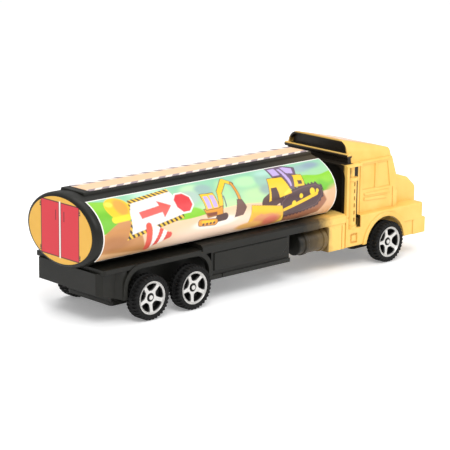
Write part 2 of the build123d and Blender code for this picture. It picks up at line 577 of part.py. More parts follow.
def back_pocket():
    """The deep recess in the cab's back, between two thin side pillars."""
    plane = Plane(origin=(fx(CAB_REAR) - 1, 0, 0), x_dir=(0, 1, 0), z_dir=(1, 0, 0))
    deep = BODY_HALF_WIDTH - STACK_BAY_DEPTH - PILLAR_THICK
    wide = BODY_HALF_WIDTH - PILLAR_THICK
    pocket = None
    for half, depth in ((wide, PILLAR_THICK), (deep, BACK_WALL - CAB_REAR)):
        outline = plane * Polygon((-half, DECK_TOP_Z + SEAT_GAP), (half, DECK_TOP_Z + SEAT_GAP),
                                  (half, GUTTER_Z - 0.6), (-half, GUTTER_Z - 0.6), align=None)
        outline = fillet(outline.vertices().group_by(Axis.Z)[-1], POCKET_CORNER_R)
        cut = extrude(outline, amount=depth + 1, dir=(1, 0, 0))
        pocket = cut if pocket is None else pocket + cut
    return pocket


def stack():
    """One exhaust stack in its bay on the right side: what is cut away, then what stands in it."""
    x0 = fx(CAB_REAR) + PILLAR_THICK
    x1 = fx(STACK_BAY_FRONT)
    inner = -BODY_HALF_WIDTH + STACK_BAY_DEPTH
    bay = block(x0, x1, -BODY_HALF_WIDTH - 1, inner, STACK_BAY_FLOOR_Z, GUTTER_Z - 1.2)
    x, y = (x0 + x1) / 2 - 0.4, -BODY_HALF_WIDTH + STACK_R + 0.2
    tube = post(x, y, STACK_R, STACK_BAY_FLOOR_Z - EPS, STACK_TOP_Z)
    pitch = (STACK_TOP_Z - STACK_BAY_FLOOR_Z - 4) / STACK_HOLES
    for row in range(STACK_HOLES):
        z = STACK_BAY_FLOOR_Z + 2.6 + (row + 0.5) * pitch
        slot = Pos(x, y - STACK_R, z) * Rot(90, 0, 0) * extrude(SlotOverall(pitch * 0.62, 0.9, 90), amount=0.7, both=True)
        tube -= slot
    tube += post(x, y, STACK_COLLAR_R, STACK_TOP_Z - 1.6, STACK_TOP_Z)
    tube += post(x, y, STACK_COLLAR_R, STACK_BAY_FLOOR_Z - EPS, STACK_BAY_FLOOR_Z + 1.2)
    tube += post(x, y, STACK_PIPE_R, STACK_TOP_Z - EPS, GUTTER_Z - 1.1)
    tube += block(x - 1, x + 1, y, inner + EPS, STACK_BAY_FLOOR_Z, STACK_TOP_Z)
    return bay, tube


def door_lines():
    """Shallow cuts on the right side: window panes, the door's front seam, the handle's recess."""
    skin = -CAB_HALF_WIDTH
    pane = side_prism([(fx(-13.6), 36.4), (fx(-4.7), 36.4), (fx(-4.7), 48.4), (fx(-13.6), 48.4)],
                      skin - 1, skin + GLASS_DEPTH)
    quarter = side_prism([(fx(-3.5), 36.0), (fx(6.0), 36.0), (fx(3.9), 48.4), (fx(-3.5), 48.4)],
                         skin - 1, skin + GLASS_DEPTH)
    seam = block(fx(7.6), fx(7.6) + GROOVE, skin - 1, skin + GROOVE_DEPTH, DOOR_BOTTOM_Z, 35.2)
    rear_seam = block(fx(-15.6), fx(-15.6) + GROOVE, skin - 1, skin + GROOVE_DEPTH, DOOR_BOTTOM_Z, GUTTER_Z - 1)
    square = block(fx(-24.2), fx(-19.4), -BODY_HALF_WIDTH - 1, -BODY_HALF_WIDTH + 0.8, 12.4, 17.2)
    square -= block(fx(-23.2), fx(-20.4), -BODY_HALF_WIDTH, -BODY_HALF_WIDTH + 0.8, 13.4, 16.2)
    notch = block(fx(10.2), fx(13.2), -CAB_HALF_WIDTH - 1, -HOOD_HALF_WIDTH, 33.0, HOOD_REAR_Z + 1)
    return pane + quarter + seam + rear_seam + square + notch


def door_trim():
    """Raised trim on the right side: gutter, handle strip, A pillar."""
    skin = -CAB_HALF_WIDTH
    gutter = rounded_block(fx(-16.0), fx(5.8), skin - 0.5, skin + EPS, GUTTER_Z - 1.2, GUTTER_Z, 0.2, Axis.X)
    handle = side_prism([(fx(-12.4), 31.2), (fx(3.4), 30.4), (fx(3.4), 31.8), (fx(-12.4), 32.6)],
                        skin - 0.5, skin + EPS)
    strip = side_prism([(fx(-12.4), 33.6), (fx(5.6), 32.8), (fx(5.6), 34.6), (fx(-12.4), 34.6)],
                       skin - 0.35, skin + EPS)
    return gutter + handle + strip


def face_details():
    """The front: grille slats, headlamps and the windscreen's pane."""
    nose = fx(HOOD_FRONT)
    cuts = block(nose - 0.7, nose + 1, -10.5, 10.5, 20.5, 31.0)
    slats = None
    for row in range(6):
        z = 21.2 + row * 1.75
        bar = block(nose - 0.8, nose, -10.6, 10.6, z, z + 0.9)
        slats = bar if slats is None else slats + bar
    for side in (-1, 1):
        lamp = Pos(fx(FENDER_FRONT), side * 19.6, 21.4) * Rot(0, 90, 0) * Cylinder(2.6, 1.2)
        slats += lamp
    return cuts, slats


def screen_pane():
    """A shallow recess in the sloping windscreen."""
    tilt = math.atan2(SCREEN_FOOT - ROOF_FRONT, GUTTER_Z - SCREEN_FOOT_Z)
    middle_x = fx((SCREEN_FOOT + ROOF_FRONT) / 2)
    middle_z = (GUTTER_Z + SCREEN_FOOT_Z) / 2 + 0.6
    pane = Box(2 * GLASS_DEPTH, 2 * CAB_HALF_WIDTH - 7, GUTTER_Z - SCREEN_FOOT_Z - 2.4)
    return Pos(middle_x, 0, middle_z) * Rot(0, -math.degrees(tilt), 0) * pane


def cab_shell():
    """The cab as one thin-walled moulding."""
    shell = door_block() + roof() + hood() + lower_cab()
    nose_cut, nose_add = face_details()
    shell = shell - nose_cut + nose_add
    shell -= cab_hollow()
    shell -= back_pocket()
    tunnel = cross_bar(FRONT_AXLE_X, FRONT_ARCH_CENTRE_Z, FRONT_ARCH_R,
                       -BODY_HALF_WIDTH - 1, -BEARING_BOX_HALF_WIDTH)
    shell -= both_sides(tunnel)
    shell -= both_sides(door_lines())
    shell += both_sides(door_trim())
    shell -= screen_pane()
    bay, tube = stack()
    shell -= both_sides(bay)
    shell += both_sides(tube)
    for x, y in cab_screw_places():
        boss = post(x, y, BOSS_R, DECK_TOP_Z + SEAT_GAP, GUTTER_Z)
        shell += boss - post(x, y, SCREW_R + BOSS_HOLE_GAP, 0, DECK_TOP_Z + 5 * SCREW_R)
    return shell


def roof_sticker():
    """A printed sheet on the sloping roof."""
    x0, x1 = fx(-18.5), fx(3.0)
    low = STICKER_GAP + 0.01
    high = low + STICKER_THICK
    return side_prism([(x0, roof_z(x0) + low), (x1, roof_z(x1) + low), (x1, roof_z(x1) + high),
                       (x0, roof_z(x0) + high)], -11.5, 11.5)


# ---- write every piece --------------------------------------------------------------------------
def pieces():
    """Every node by name."""
    made = {
        "chassis_frame": chassis_frame(),
        "cab_shell": cab_shell(),
        "tank_shell": tank_shell(),
        "rear_base_plate": base_plate(BOGIE_X0, BOGIE_X1),
        "front_base_plate": base_plate(FRONT_BOX_X0, FRONT_BOX_X1),
        "base_screws": base_screws(),
        "tank_screws": tank_screws(),
        "cab_screws": cab_screws(),
        "left_side_sticker": side_sticker(1),
        "right_side_sticker": side_sticker(-1),
        "top_sticker": top_sticker(),
        "rear_sticker": rear_sticker(),
        "roof_sticker": roof_sticker(),
    }
    for name, x in AXLES.items():
        made[name + "_axle"] = Pos(x, 0, 0) * axle()
        for side, side_name in ((1, "left"), (-1, "right")):
            made[f"{name}_{side_name}_tyre"] = Pos(x, 0, 0) * tyre(side)
            made[f"{name}_{side_name}_hub"] = Pos(x, 0, 0) * hub(side)
    return made


os.makedirs("parts", exist_ok=True)
for name, shape in pieces().items():
    export_step(shape, f"parts/{name}.step")
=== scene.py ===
# %% [markdown]
# # A moulded plastic toy tanker truck
# The truck is a handful of black plastic mouldings: a deck, a tank and a cab.  The cab is sprayed
# yellow, and the spray drifts back over the deck.  Printed sheets are stuck on the tank.  The packed
# frame gives every size and place, so each new surface starts from a node's box.

import math

import bmesh
import bpy
import numpy as np
from mathutils import Matrix, Vector


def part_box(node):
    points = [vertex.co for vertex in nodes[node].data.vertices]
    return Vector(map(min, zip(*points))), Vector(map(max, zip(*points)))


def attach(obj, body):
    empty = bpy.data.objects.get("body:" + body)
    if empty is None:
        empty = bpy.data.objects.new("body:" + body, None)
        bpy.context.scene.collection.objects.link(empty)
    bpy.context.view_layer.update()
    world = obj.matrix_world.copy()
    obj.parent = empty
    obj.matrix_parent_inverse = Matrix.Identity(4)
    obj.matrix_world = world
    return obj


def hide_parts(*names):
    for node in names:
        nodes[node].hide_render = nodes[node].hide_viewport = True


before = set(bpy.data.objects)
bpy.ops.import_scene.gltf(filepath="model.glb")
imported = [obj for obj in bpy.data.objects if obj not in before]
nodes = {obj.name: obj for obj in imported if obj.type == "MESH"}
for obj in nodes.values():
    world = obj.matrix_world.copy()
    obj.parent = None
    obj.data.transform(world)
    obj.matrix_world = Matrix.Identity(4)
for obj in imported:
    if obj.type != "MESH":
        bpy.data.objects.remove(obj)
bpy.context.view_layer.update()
MM = 0.001
BODY = "body"


def box_mm(node):
    """The lowest and highest corners of a CAD node, in millimetres, as arrays."""
    low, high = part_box(node)
    return np.array(low) / MM, np.array(high) / MM


# %% [markdown]
# ## Surfaces from arrays
# Every new piece is a grid of points worked out by numpy as a function of two parameters.  One
# helper turns such a grid into a closed mesh.  Rows that shrink to a point are merged there, and the
# signed volume tells whether the faces point outwards.

# %% Turning a grid of points into a piece
SMOOTH_ANGLE = 38


def grid_faces(rows, cols, wrap_rows, wrap_cols):
    """Quads that join each grid point to its neighbours in the next row and column."""
    r, c = np.meshgrid(np.arange(rows - (not wrap_rows)), np.arange(cols - (not wrap_cols)),
                       indexing="ij")
    r_next, c_next = (r + 1) % rows, (c + 1) % cols
    quads = np.stack([r * cols + c, r * cols + c_next,
                      r_next * cols + c_next, r_next * cols + c], axis=-1)
    return quads.reshape(-1, 4)


def tidy(mesh, merge_mm):
    """Merges doubled points, drops flat faces and turns the faces outwards by the signed volume."""
    work = bmesh.new()
    work.from_mesh(mesh)
    bmesh.ops.remove_doubles(work, verts=work.verts, dist=merge_mm * MM)
    bmesh.ops.dissolve_degenerate(work, edges=work.edges, dist=merge_mm * MM)
    if work.calc_volume(signed=True) < 0:
        bmesh.ops.reverse_faces(work, faces=work.faces)
    work.to_mesh(mesh)
    work.free()


def piece(name, points, wrap_rows=False, wrap_cols=False, body=BODY,
          replaces=()):
    """A named object from a (rows, cols, 3) array of points in millimetres."""
    rows, cols = points.shape[:2]
    faces = grid_faces(rows, cols, wrap_rows, wrap_cols)
    mesh = bpy.data.meshes.new(name)
    mesh.from_pydata(points.reshape(-1, 3) * MM, [], faces.tolist())
    tidy(mesh, 0.001)
    mesh.shade_smooth()
    mesh.set_sharp_from_angle(angle=math.radians(SMOOTH_ANGLE))
    return adopt(bpy.data.objects.new(name, mesh), body, replaces)


def adopt(made, body, replaces):
    """Links a new piece, lets it ride on its body and hides the CAD parts it stands for."""
    bpy.context.scene.collection.objects.link(made)
    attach(made, body)
    if replaces:
        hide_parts(*replaces)
    return made


def smooth_step(low, high, value):
    """0 below low, 1 above high and an S-curve between, for arrays."""
    t = np.clip((value - low) / (high - low), 0, 1)
    return t * t * (3 - 2 * t)


print("a grid of 3 by 4 points makes", len(grid_faces(3, 4, False, False)), "faces")

# %% [markdown]
# ## Shader maths as expressions
# A finish is a few formulas of the point on the surface: how far forward it is, how near an edge.
# Wrapping a socket in a small class lets those formulas be written as Python expressions, and each
# operator adds its own Math node.

# %% A socket that can be added, multiplied and compared
class Value:
    """A number that changes over a surface.  Arithmetic on it adds Math nodes."""

    def __init__(self, finish, socket):
        self.finish = finish
        self.socket = socket

    def maths(self, operation, *others, clamp=False):
        """One Math node with this value first."""
        settings = {"operation": operation, "use_clamp": clamp}
        node = self.finish.node("ShaderNodeMath", settings, self, *others)
        return Value(self.finish, node.outputs[0])

    def __add__(self, other):
        return self.maths("ADD", other)

    def __sub__(self, other):
        return self.maths("SUBTRACT", other)

    def __rsub__(self, other):
        return self.maths("MULTIPLY", -1.0) + other

    def __mul__(self, other):
        return self.maths("MULTIPLY", other)

    def __truediv__(self, other):
        return self.maths("DIVIDE", other)

    __radd__ = __add__
    __rmul__ = __mul__

    def size(self):
        """The absolute value."""
        return self.maths("ABSOLUTE")

    def part(self, period):
        """How far through its period the value is, from 0 to 1."""
        return (self / period).maths("FRACT")

    def least(self, other):
        return self.maths("MINIMUM", other)

    def most(self, other):
        return self.maths("MAXIMUM", other)

    def rise(self, low, high):
        """0 below low, 1 above high, and a straight ramp between."""
        return (self - low).maths("DIVIDE", high - low, clamp=True)

    def inside(self, low, high, soft=0.08):
        """1 between low and high, with edges of width soft."""
        return self.rise(low - soft, low + soft) * (1 - self.rise(high - soft, high + soft))


def colour(red, green, blue):
    """A colour given as on a screen, 0 to 255, in the linear light that shaders use."""
    share = np.array([red, green, blue]) / 255
    linear = np.where(share <= 0.04045, share / 12.92, ((share + 0.055) / 1.055) ** 2.4)
    return (*[float(part) for part in linear], 1.0)


class Finish:
    """One material: its nodes, the point being shaded and the main shader."""

    def __init__(self, name, roughness, metallic=0.0, coat=0.0, specular=0.3):
        self.material = bpy.data.materials.new(name)
        self.material.use_nodes = True
        self.tree = self.material.node_tree
        self.shader = self.tree.nodes["Principled BSDF"]
        self.shader.inputs["Roughness"].default_value = roughness
        self.shader.inputs["Metallic"].default_value = metallic
        self.shader.inputs["Coat Weight"].default_value = coat
        self.shader.inputs["Specular IOR Level"].default_value = specular
        self.coordinates = self.node("ShaderNodeTexCoord", {})
        in_mm = self.node("ShaderNodeVectorMath", {"operation": "SCALE"}, self.coordinates.outputs["Object"],
                          Scale=1 / MM)
        self.point = in_mm.outputs[0]
        split = self.node("ShaderNodeSeparateXYZ", {}, self.point)
        self.x, self.y, self.z = (Value(self, out) for out in split.outputs)

    def node(self, kind, settings, *values, **named):
        """A node of any kind: its settings are set first, then its sockets in order or by name."""
        made = self.tree.nodes.new(kind)
        for key, setting in settings.items():
            setattr(made, key, setting)
        for key, value in list(enumerate(values)) + list(named.items()):
            socket = made.inputs[key]
            if isinstance(value, Value):
                value = value.socket
            if isinstance(value, bpy.types.NodeSocket):
                self.tree.links.new(value, socket)
            else:
                socket.default_value = value
        return made

    def noise(self, scale, detail=2.0, stretch=(1, 1, 1)):
        """Soft random values about 0.5; scale is waves per millimetre."""
        place = self.node("ShaderNodeMapping", {}, self.point, Scale=stretch).outputs[0]
        made = self.node("ShaderNodeTexNoise", {}, Vector=place, Scale=scale, Detail=detail)
        return Value(self, made.outputs[0])

    def mix(self, share, first, second):
        """first where share is 0, second where it is 1."""
        made = self.node("ShaderNodeMix", {"data_type": "RGBA"})
        for key, value in ((0, share), (6, first), (7, second)):
            value = value.socket if isinstance(value, Value) else value
            if isinstance(value, bpy.types.NodeSocket):
                self.tree.links.new(value, made.inputs[key])
            else:
                made.inputs[key].default_value = value
        return made.outputs[2]

    def feed(self, **sockets):
        """Links values to the shader's sockets, with underscores for spaces."""
        for key, value in sockets.items():
            value = value.socket if isinstance(value, Value) else value
            self.tree.links.new(value, self.shader.inputs[key.replace("_", " ")])
        return self

    def relief(self, height, depth_mm, edge_mm=0.0):
        """Small bumps of a height in millimetres, over edges rounded by edge_mm."""
        bump = self.node("ShaderNodeBump", {}, Height=height, Distance=depth_mm * MM, Strength=1.0)
        if edge_mm:
            soft = self.node("ShaderNodeBevel", {"samples": 6}, edge_mm * MM)
            self.tree.links.new(soft.outputs[0], bump.inputs["Normal"])
        self.tree.links.new(bump.outputs[0], self.shader.inputs["Normal"])
        return self


print("middle grey on a screen is", round(colour(128, 128, 128)[0], 3), "in linear light")

# %% [markdown]
# ## Plastic, paint and metal
# The black plastic is satin and shows faint flow marks.  The yellow is sprayed from the front, so it
# covers the cab and thins out over the deck and the drums behind it.  Inside the cab's hollow back the
# spray never reached.

# %% Black plastic, with yellow spray drifting over its front end
BLACK = colour(24, 24, 20)
BROWN_DUST = colour(120, 98, 62)
YELLOW = colour(244, 200, 108)
YELLOW_DEEP = colour(238, 190, 94)
cab_low, cab_high = box_mm("cab_shell")
AXLE_RADIUS = 1.0
front_axle_x = box_mm("front_axle")[0][0] + AXLE_RADIUS


def black_plastic(name, spray_start=None, spray_end=None, beyond=14, most=1.0):
    """Satin black plastic; past spray_start and outside beyond it turns slowly to the sprayed
    yellow, by at most the share given."""
    finish = Finish(name, 0.42, specular=0.24)
    flow = finish.noise(0.12, 3.0, (0.4, 1, 1))
    base = finish.mix(flow.rise(0.3, 0.7) * 0.5, BLACK, colour(33, 32, 27))
    if spray_start is not None:
        drift = finish.x + (finish.noise(0.35, 4.0) - 0.5) * 7
        outside = finish.y.size().rise(beyond, beyond + 3) * most
        thin = drift.rise(spray_start, spray_end) * outside
        base = finish.mix(thin * 0.8, base, BROWN_DUST)
        full = drift.rise((spray_start + spray_end) / 2, spray_end) * outside
        full = full * finish.z.rise(22.2, 22.8).most(finish.x.rise(35.9, 36.5)).most(0.12)
        base = finish.mix(full, base, YELLOW)
    finish.feed(Base_Color=base, Roughness=finish.noise(0.5, 3.0) * 0.16 + 0.36)
    return finish.relief(finish.noise(1.6, 3.0), 0.02, 0.35).material


deck_plastic = black_plastic("deck_plastic", front_axle_x - 56, front_axle_x - 35)
tank_plastic = black_plastic("tank_plastic", front_axle_x - 75, front_axle_x + 25, 6, 0.75)
plain_plastic = black_plastic("plain_plastic")
print("deck plastic has", len(deck_plastic.node_tree.nodes), "shader nodes")

# %% The cab's sprayed paint
BACK_DEPTH = 5.6
STACK_AHEAD = 5.45
STACK_OUT = 20.7


def cab_paint():
    """Warm yellow spray outside; black plastic in the hollow back, scoop and underside; painted shade in the
    stack's bay and slots and the windscreen's corners.
    """
    finish = Finish("cab_paint", 0.4)
    across = finish.y.size()
    patch = finish.noise(0.08, 3.0)
    base = finish.mix(patch.rise(0.35, 0.65), YELLOW, YELLOW_DEEP)
    rear = float(cab_low[0])
    wander = (finish.noise(0.4, 2.0) - 0.5) * 1.2
    split = finish.node("ShaderNodeSeparateXYZ", {}, finish.coordinates.outputs["Normal"])
    facing_x, facing_y, facing_z = (Value(finish, out) for out in split.outputs)
    backward = (facing_x * -1.0).rise(0.3, 0.7)
    inward = 1 - (facing_y * finish.y + facing_z * (finish.z - 50)).rise(-0.6, 0.0)
    inner = 1 - (across + wander).rise(21.4, 22.6)
    back = backward * inner * finish.x.inside(rear - 1, rear + 10) * (1 - finish.z.rise(54.4, 54.9))
    pocket = finish.x.inside(rear + 0.3, rear + BACK_DEPTH + 0.6, 0.25) * inner
    pocket = pocket * finish.z.inside(20, 54.0, 0.3)
    scoop = finish.x.inside(rear + 3.9, rear + 7.5, 0.1) * (1 - (across + wander * 0.6).rise(18.0, 19.4))
    floor = 1 - finish.z.rise(55.2, 55.4)
    scoop = scoop * finish.z.inside(54.8, 60.4, 0.2) * backward.most(inward).most(floor)
    under = finish.x.inside(rear + 2.2, float(cab_high[0]) - 5.2) * (1 - across.rise(22.3, 22.5))
    under = under * (1 - finish.z.rise(23.2, 23.8))
    ledge = finish.x.inside(rear - 1, rear + 4.6) * finish.z.inside(49.9, 53.6, 0.2)
    ledge = ledge * (1 - across.rise(19.5, 20.1))
    in_bay = finish.x.inside(rear + 1.7, rear + 10.4, 0.15) * finish.z.inside(19.4, 49.2, 0.2)
    bay_front = backward * finish.x.rise(rear + 9.6, rear + 9.9) * (1 - across.rise(23.2, 23.7))
    # Painted shade: the bay's floor beside the stack is given the bare plastic's black. The bay's rear-facing
    # front wall is unsprayed plastic.
    bay_shade_and_bare_wall = in_bay * (1 - (across + wander * 0.2).rise(20.9, 22.0)).most(bay_front)
    bare_plastic_and_shade = pocket.most(scoop).most(under).most(back).most(ledge).most(bay_shade_and_bare_wall)
    # Painted shade: inside the stack's perforation slots the yellow is tinted darker.
    tube_r = ((finish.x - rear - STACK_AHEAD) * (finish.x - rear - STACK_AHEAD)
              + (across - STACK_OUT) * (across - STACK_OUT)).maths("SQRT")
    stack_slot_shade = in_bay * across.rise(21.5, 22.0) * (1 - tube_r.rise(2.6, 2.95)) * (1 - finish.z.rise(42, 43))
    base = finish.mix(stack_slot_shade * 0.55, base, colour(120, 78, 30))
    # Painted shade: the recess at the windscreen's lower corners is tinted a darker orange.
    windscreen_corner_shade = finish.x.inside(rear + 37.2, rear + 40.6, 0.1) * finish.z.inside(33, 42)
    windscreen_corner_shade = windscreen_corner_shade * (1 - across.rise(19.4, 20.6))
    base = finish.mix(windscreen_corner_shade * across.rise(16.8, 17.0) * 0.7, base, colour(196, 122, 44))
    # Bare black plastic, and the painted shade in the stack's bay.
    base = finish.mix(bare_plastic_and_shade, base, colour(40, 33, 24))
    finish.feed(Base_Color=base, Roughness=finish.noise(0.4, 3.0) * 0.14 + 0.34)
    return finish.relief(finish.noise(2.5, 3.0), 0.012, 0.45).material


cab_finish = cab_paint()
print("cab paint has", len(cab_finish.node_tree.nodes), "shader nodes")


# %% Tyres, hubs and steel
def tyre_rubber():
    """Matt black with a fine grain and lighter scuffs here and there."""
    finish = Finish("tyre_rubber", 0.7, specular=0.2)
    scuff = finish.noise(0.8, 4.0).rise(0.45, 0.75)
    base = finish.mix(scuff * 0.5, colour(14, 14, 14), colour(34, 33, 32))
    finish.feed(Base_Color=base, Roughness=finish.noise(1.2, 3.0) * 0.2 + 0.55)
    return finish.relief(finish.noise(5.0, 2.0), 0.02).material


def hub_coating():
    """Silver coating on the spokes and rim; the attribute named window carries painted shade, black in the
    deep windows and in the groove round the button.
    """
    finish = Finish("hub_silver", 0.34, metallic=0.35)
    window = Value(finish, finish.node("ShaderNodeAttribute", {"attribute_name": "window"}).outputs["Fac"])
    silver = finish.mix(finish.noise(0.5, 2.0), colour(222, 220, 216), colour(198, 197, 195))
    finish.feed(Base_Color=finish.mix(window, silver, colour(16, 16, 16)), Metallic=(1 - window) * 0.35)
    return finish.relief(finish.noise(3.0, 2.0), 0.01).material


def drawn_steel():
    """Bright steel with fine lines along the rod."""
    finish = Finish("drawn_steel", 0.3, metallic=1.0)
    lines = finish.noise(1.0, 2.0, (6, 0.3, 6))
    finish.feed(Base_Color=finish.mix(lines, colour(200, 200, 200), colour(160, 160, 162)),
                Roughness=lines * 0.2 + 0.2)
    return finish.material


rubber = tyre_rubber()
silver = hub_coating()
steel = drawn_steel()
print("finishes:", rubber.name, silver.name, steel.name)

# %% [markdown]
# ## Printed sheets with straight patterns
# The strips on the walkway and roof and the pair of doors on the tank's end are straight-edged
# prints, so each is a formula of the point itself.  A clear film over the print gives an even gloss.

# %% The walkway strip, the roof sheet and the printed doors
HAZARD_PITCH = 8.0
PEACH = colour(250, 208, 168)
LILAC_GREY = colour(136, 118, 128)


def walkway_print():
    """A peach strip with slanting grey dashes along both edges."""
    finish = Finish("walkway_print", 0.35)
    half = float(box_mm("top_sticker")[1][1])
    across = finish.y.size()
    slant = (finish.x + finish.y.size() * 1.1).part(HAZARD_PITCH)
    dash = slant.inside(0.06, 0.56, 0.04) * across.rise(half - 2.6, half - 2.4)
    base = finish.mix(finish.noise(0.05, 2.0), PEACH, colour(246, 200, 156))
    base = finish.mix(across.rise(half - 2.6, half - 2.4), base, colour(252, 238, 226))
    finish.feed(Base_Color=finish.mix(dash * 0.9, base, LILAC_GREY))
    return finish.relief(finish.noise(0.6, 2.0), 0.01).material


def roof_print():
    """A pale pink sheet with a thin frame and a few straight lines."""
    finish = Finish("roof_print", 0.35)
    low, high = box_mm("roof_sticker")
    across = finish.y.size()
    edge = (finish.x - float(low[0])).least(float(high[0]) - finish.x).least(float(high[1]) - across)
    frame_line = edge.inside(1.2, 1.6)
    ribs = (finish.x - float(low[0])).part(5.4).inside(0.45, 0.55, 0.02) * across.inside(-1, 7.0)
    base = finish.mix(finish.noise(0.1, 2.0), colour(253, 220, 196), colour(250, 206, 178))
    finish.feed(Base_Color=finish.mix(frame_line.most(ribs) * 0.8, base, colour(140, 112, 120)))
    return finish.relief(finish.noise(0.6, 2.0), 0.01).material


DOOR_HALF = 13.0
DOOR_TOP = 12.3
DOOR_BOTTOM = -11.8


def door_print():
    """Two red doors with dark outlines, a white meeting line, handles and hinges, on ochre."""
    finish = Finish("door_print", 0.35)
    low, high = box_mm("rear_sticker")
    across = finish.y.size()
    up = finish.z - float(low[2] + high[2]) / 2
    inset = (DOOR_HALF - across).least(DOOR_TOP - up).least(up - DOOR_BOTTOM)
    base = finish.mix(finish.noise(0.2, 2.0), colour(236, 184, 78), colour(228, 174, 66))
    base = finish.mix(inset.rise(-0.2, 0.0), base, colour(84, 46, 46))
    base = finish.mix(inset.rise(0.3, 0.45), base, colour(214, 50, 62))
    seam = (1 - across.rise(0.75, 0.9)) * inset.rise(0, 0.1)
    base = finish.mix(seam, base, colour(84, 46, 46))
    line = (1 - across.rise(0.42, 0.54)) * inset.rise(-0.4, -0.3)
    base = finish.mix(line, base, colour(250, 240, 232))
    handle = across.inside(2.5, 3.1) * up.inside(4.2, 8.6)
    base = finish.mix(handle, base, colour(128, 34, 44))
    hinge_rows = (up.size() - 9.6).size().inside(-1.0, 1.1)
    hinge = hinge_rows * (across - DOOR_HALF).inside(-0.2, 0.9)
    hinge = hinge * (1 - up.part(0.75).inside(0.3, 0.6, 0.05))
    base = finish.mix(hinge, base, colour(70, 44, 40))
    finish.feed(Base_Color=base)
    return finish.relief(finish.noise(0.6, 2.0), 0.01).material


def wear(node, material):
    """Gives a CAD node its finish."""
    nodes[node].data.materials.clear()
    nodes[node].data.materials.append(material)


for node, material in (("top_sticker", walkway_print()), ("roof_sticker", roof_print()),
                       ("rear_sticker", door_print()), ("chassis_frame", deck_plastic),
                       ("cab_shell", cab_finish), ("rear_base_plate", plain_plastic),
                       ("front_base_plate", plain_plastic), ("base_screws", steel),
                       ("tank_screws", steel), ("cab_screws", steel), ("rear_axle", steel),
                       ("middle_axle", steel), ("front_axle", steel)):
    wear(node, material)

# %% [markdown]
# ## The tank
# The tank is an ellipse carried along the truck.  Near each end the ellipse is drawn in by a quarter
# ellipse, which is the rounded rim, and then shrinks to the middle of the flat end.  The walkway is a
# low bar with rounded shoulders that runs along the top.

# %% The elliptical body and its walkway
WALKWAY_RISE = 0.5
RIM_ROUND = 1.6
RIM_SWEEP = 3.0
tank_low, tank_high = box_mm("tank_shell")
tank_half_width = float(tank_high[1])
tank_half_height = float(tank_high[2] - tank_low[2] - WALKWAY_RISE) / 2
tank_centre_z = float(tank_low[2]) + tank_half_height


def elliptic_tank():
    """Points (x(s), (a - p(s)) cos t, zc + (b - q(s)) sin t).  At both rims p and q are quarter
    ellipses: the rim sweeps further in across the tank than it does up and down."""
    quarter = np.linspace(0, np.pi / 2, 11)
    drawn_in = 1 - np.sin(quarter)
    along = RIM_SWEEP * (1 - np.cos(quarter))
    rear = np.stack([tank_low[0] + along, drawn_in], axis=1)
    front = np.stack([tank_high[0] - along, drawn_in], axis=1)[::-1]
    middle = np.stack([np.linspace(rear[-1, 0], front[0, 0], 40), np.zeros(40)], axis=1)[1:-1]
    stations = np.concatenate([rear, middle, front])
    t = np.linspace(0, 2 * np.pi, 240, endpoint=False)
    x = np.repeat(stations[:, :1], len(t), axis=1)
    y = (tank_half_width - RIM_SWEEP * stations[:, 1:]) * np.cos(t)
    z = (tank_half_height - RIM_ROUND * stations[:, 1:]) * np.sin(t)
    skin = np.stack([x, y, z + tank_centre_z], axis=-1)
    centre = np.array([0, 0, tank_centre_z])
    shrink = [1.0, 0.6, 0.0]

    def cap(ring):
        away = np.array([ring[0, 0], 0, 0]) + centre
        return np.array([away + (ring - away) * share for share in shrink])

    return np.concatenate([cap(skin[0])[:0:-1], skin, cap(skin[-1])[1:]])


def rounded_bar(x0, x1, half, z0, z1, radius, steps=6):
    """A bar along X: its outline across is a rectangle with its two top corners as quarter circles."""
    turn = np.linspace(0, np.pi / 2, steps)
    right = np.stack([half - radius + radius * np.cos(turn), z1 - radius + radius * np.sin(turn)], axis=1)
    left = right[::-1] * [-1, 1]
    outline = np.concatenate([[[half, z0]], right, left, [[-half, z0]]])
    middle = np.array([0, (z0 + z1) / 2])
    rows = []
    ends = ((x0, 0.0), (x0, 0.96), (x0 + radius / 2, 1.0),
            (x1 - radius / 2, 1.0), (x1, 0.96), (x1, 0.0))
    for x, share in ends:
        ring = middle + (outline - middle) * share
        rows.append(np.column_stack([np.full(len(ring), x), ring]))
    return np.array(rows)


WALKWAY_HALF = 8.0
tank = piece("tank_body", elliptic_tank(), wrap_cols=True, replaces=("tank_shell",))
walkway_start = float(box_mm("top_sticker")[0][0]) - 4.0
walkway = piece("tank_walkway", rounded_bar(walkway_start, tank_high[0] - RIM_ROUND, WALKWAY_HALF,
                                            tank_centre_z, tank_high[2], 0.8), wrap_cols=True,
                replaces=("tank_shell",))
for made in (tank, walkway):
    made.data.materials.append(tank_plastic)
print("tank ellipse", round(tank_half_width, 2), "x", round(tank_half_height, 2), "mm")

# %% [markdown]
# ## The picture on the tank's flank
# The print is a simple building site: sky, hills, sand, a helmet, a blank board, a cone and two
# machines.  Each shape is a distance formula in millimetres on the unrolled sheet, less than zero
# inside it.  They are painted one over another into a colour for each point of the sheet.

# %% Distance formulas for the picture's shapes
INK = colour(64, 38, 44)


def disc(u, v, cu, cv, ru, rv=None):
    """Roughly the distance outside an ellipse about (cu, cv)."""
    rv = rv or ru
    return (np.hypot((u - cu) / ru, (v - cv) / rv) - 1) * min(ru, rv)


def stroke(u, v, start, end, width):
    """Distance outside a bar with round ends, from start to end."""
    run = np.subtract(end, start)
    share = np.clip(((u - start[0]) * run[0] + (v - start[1]) * run[1]) / (run @ run), 0, 1)
    return np.hypot(u - start[0] - share * run[0], v - start[1] - share * run[1]) - width / 2


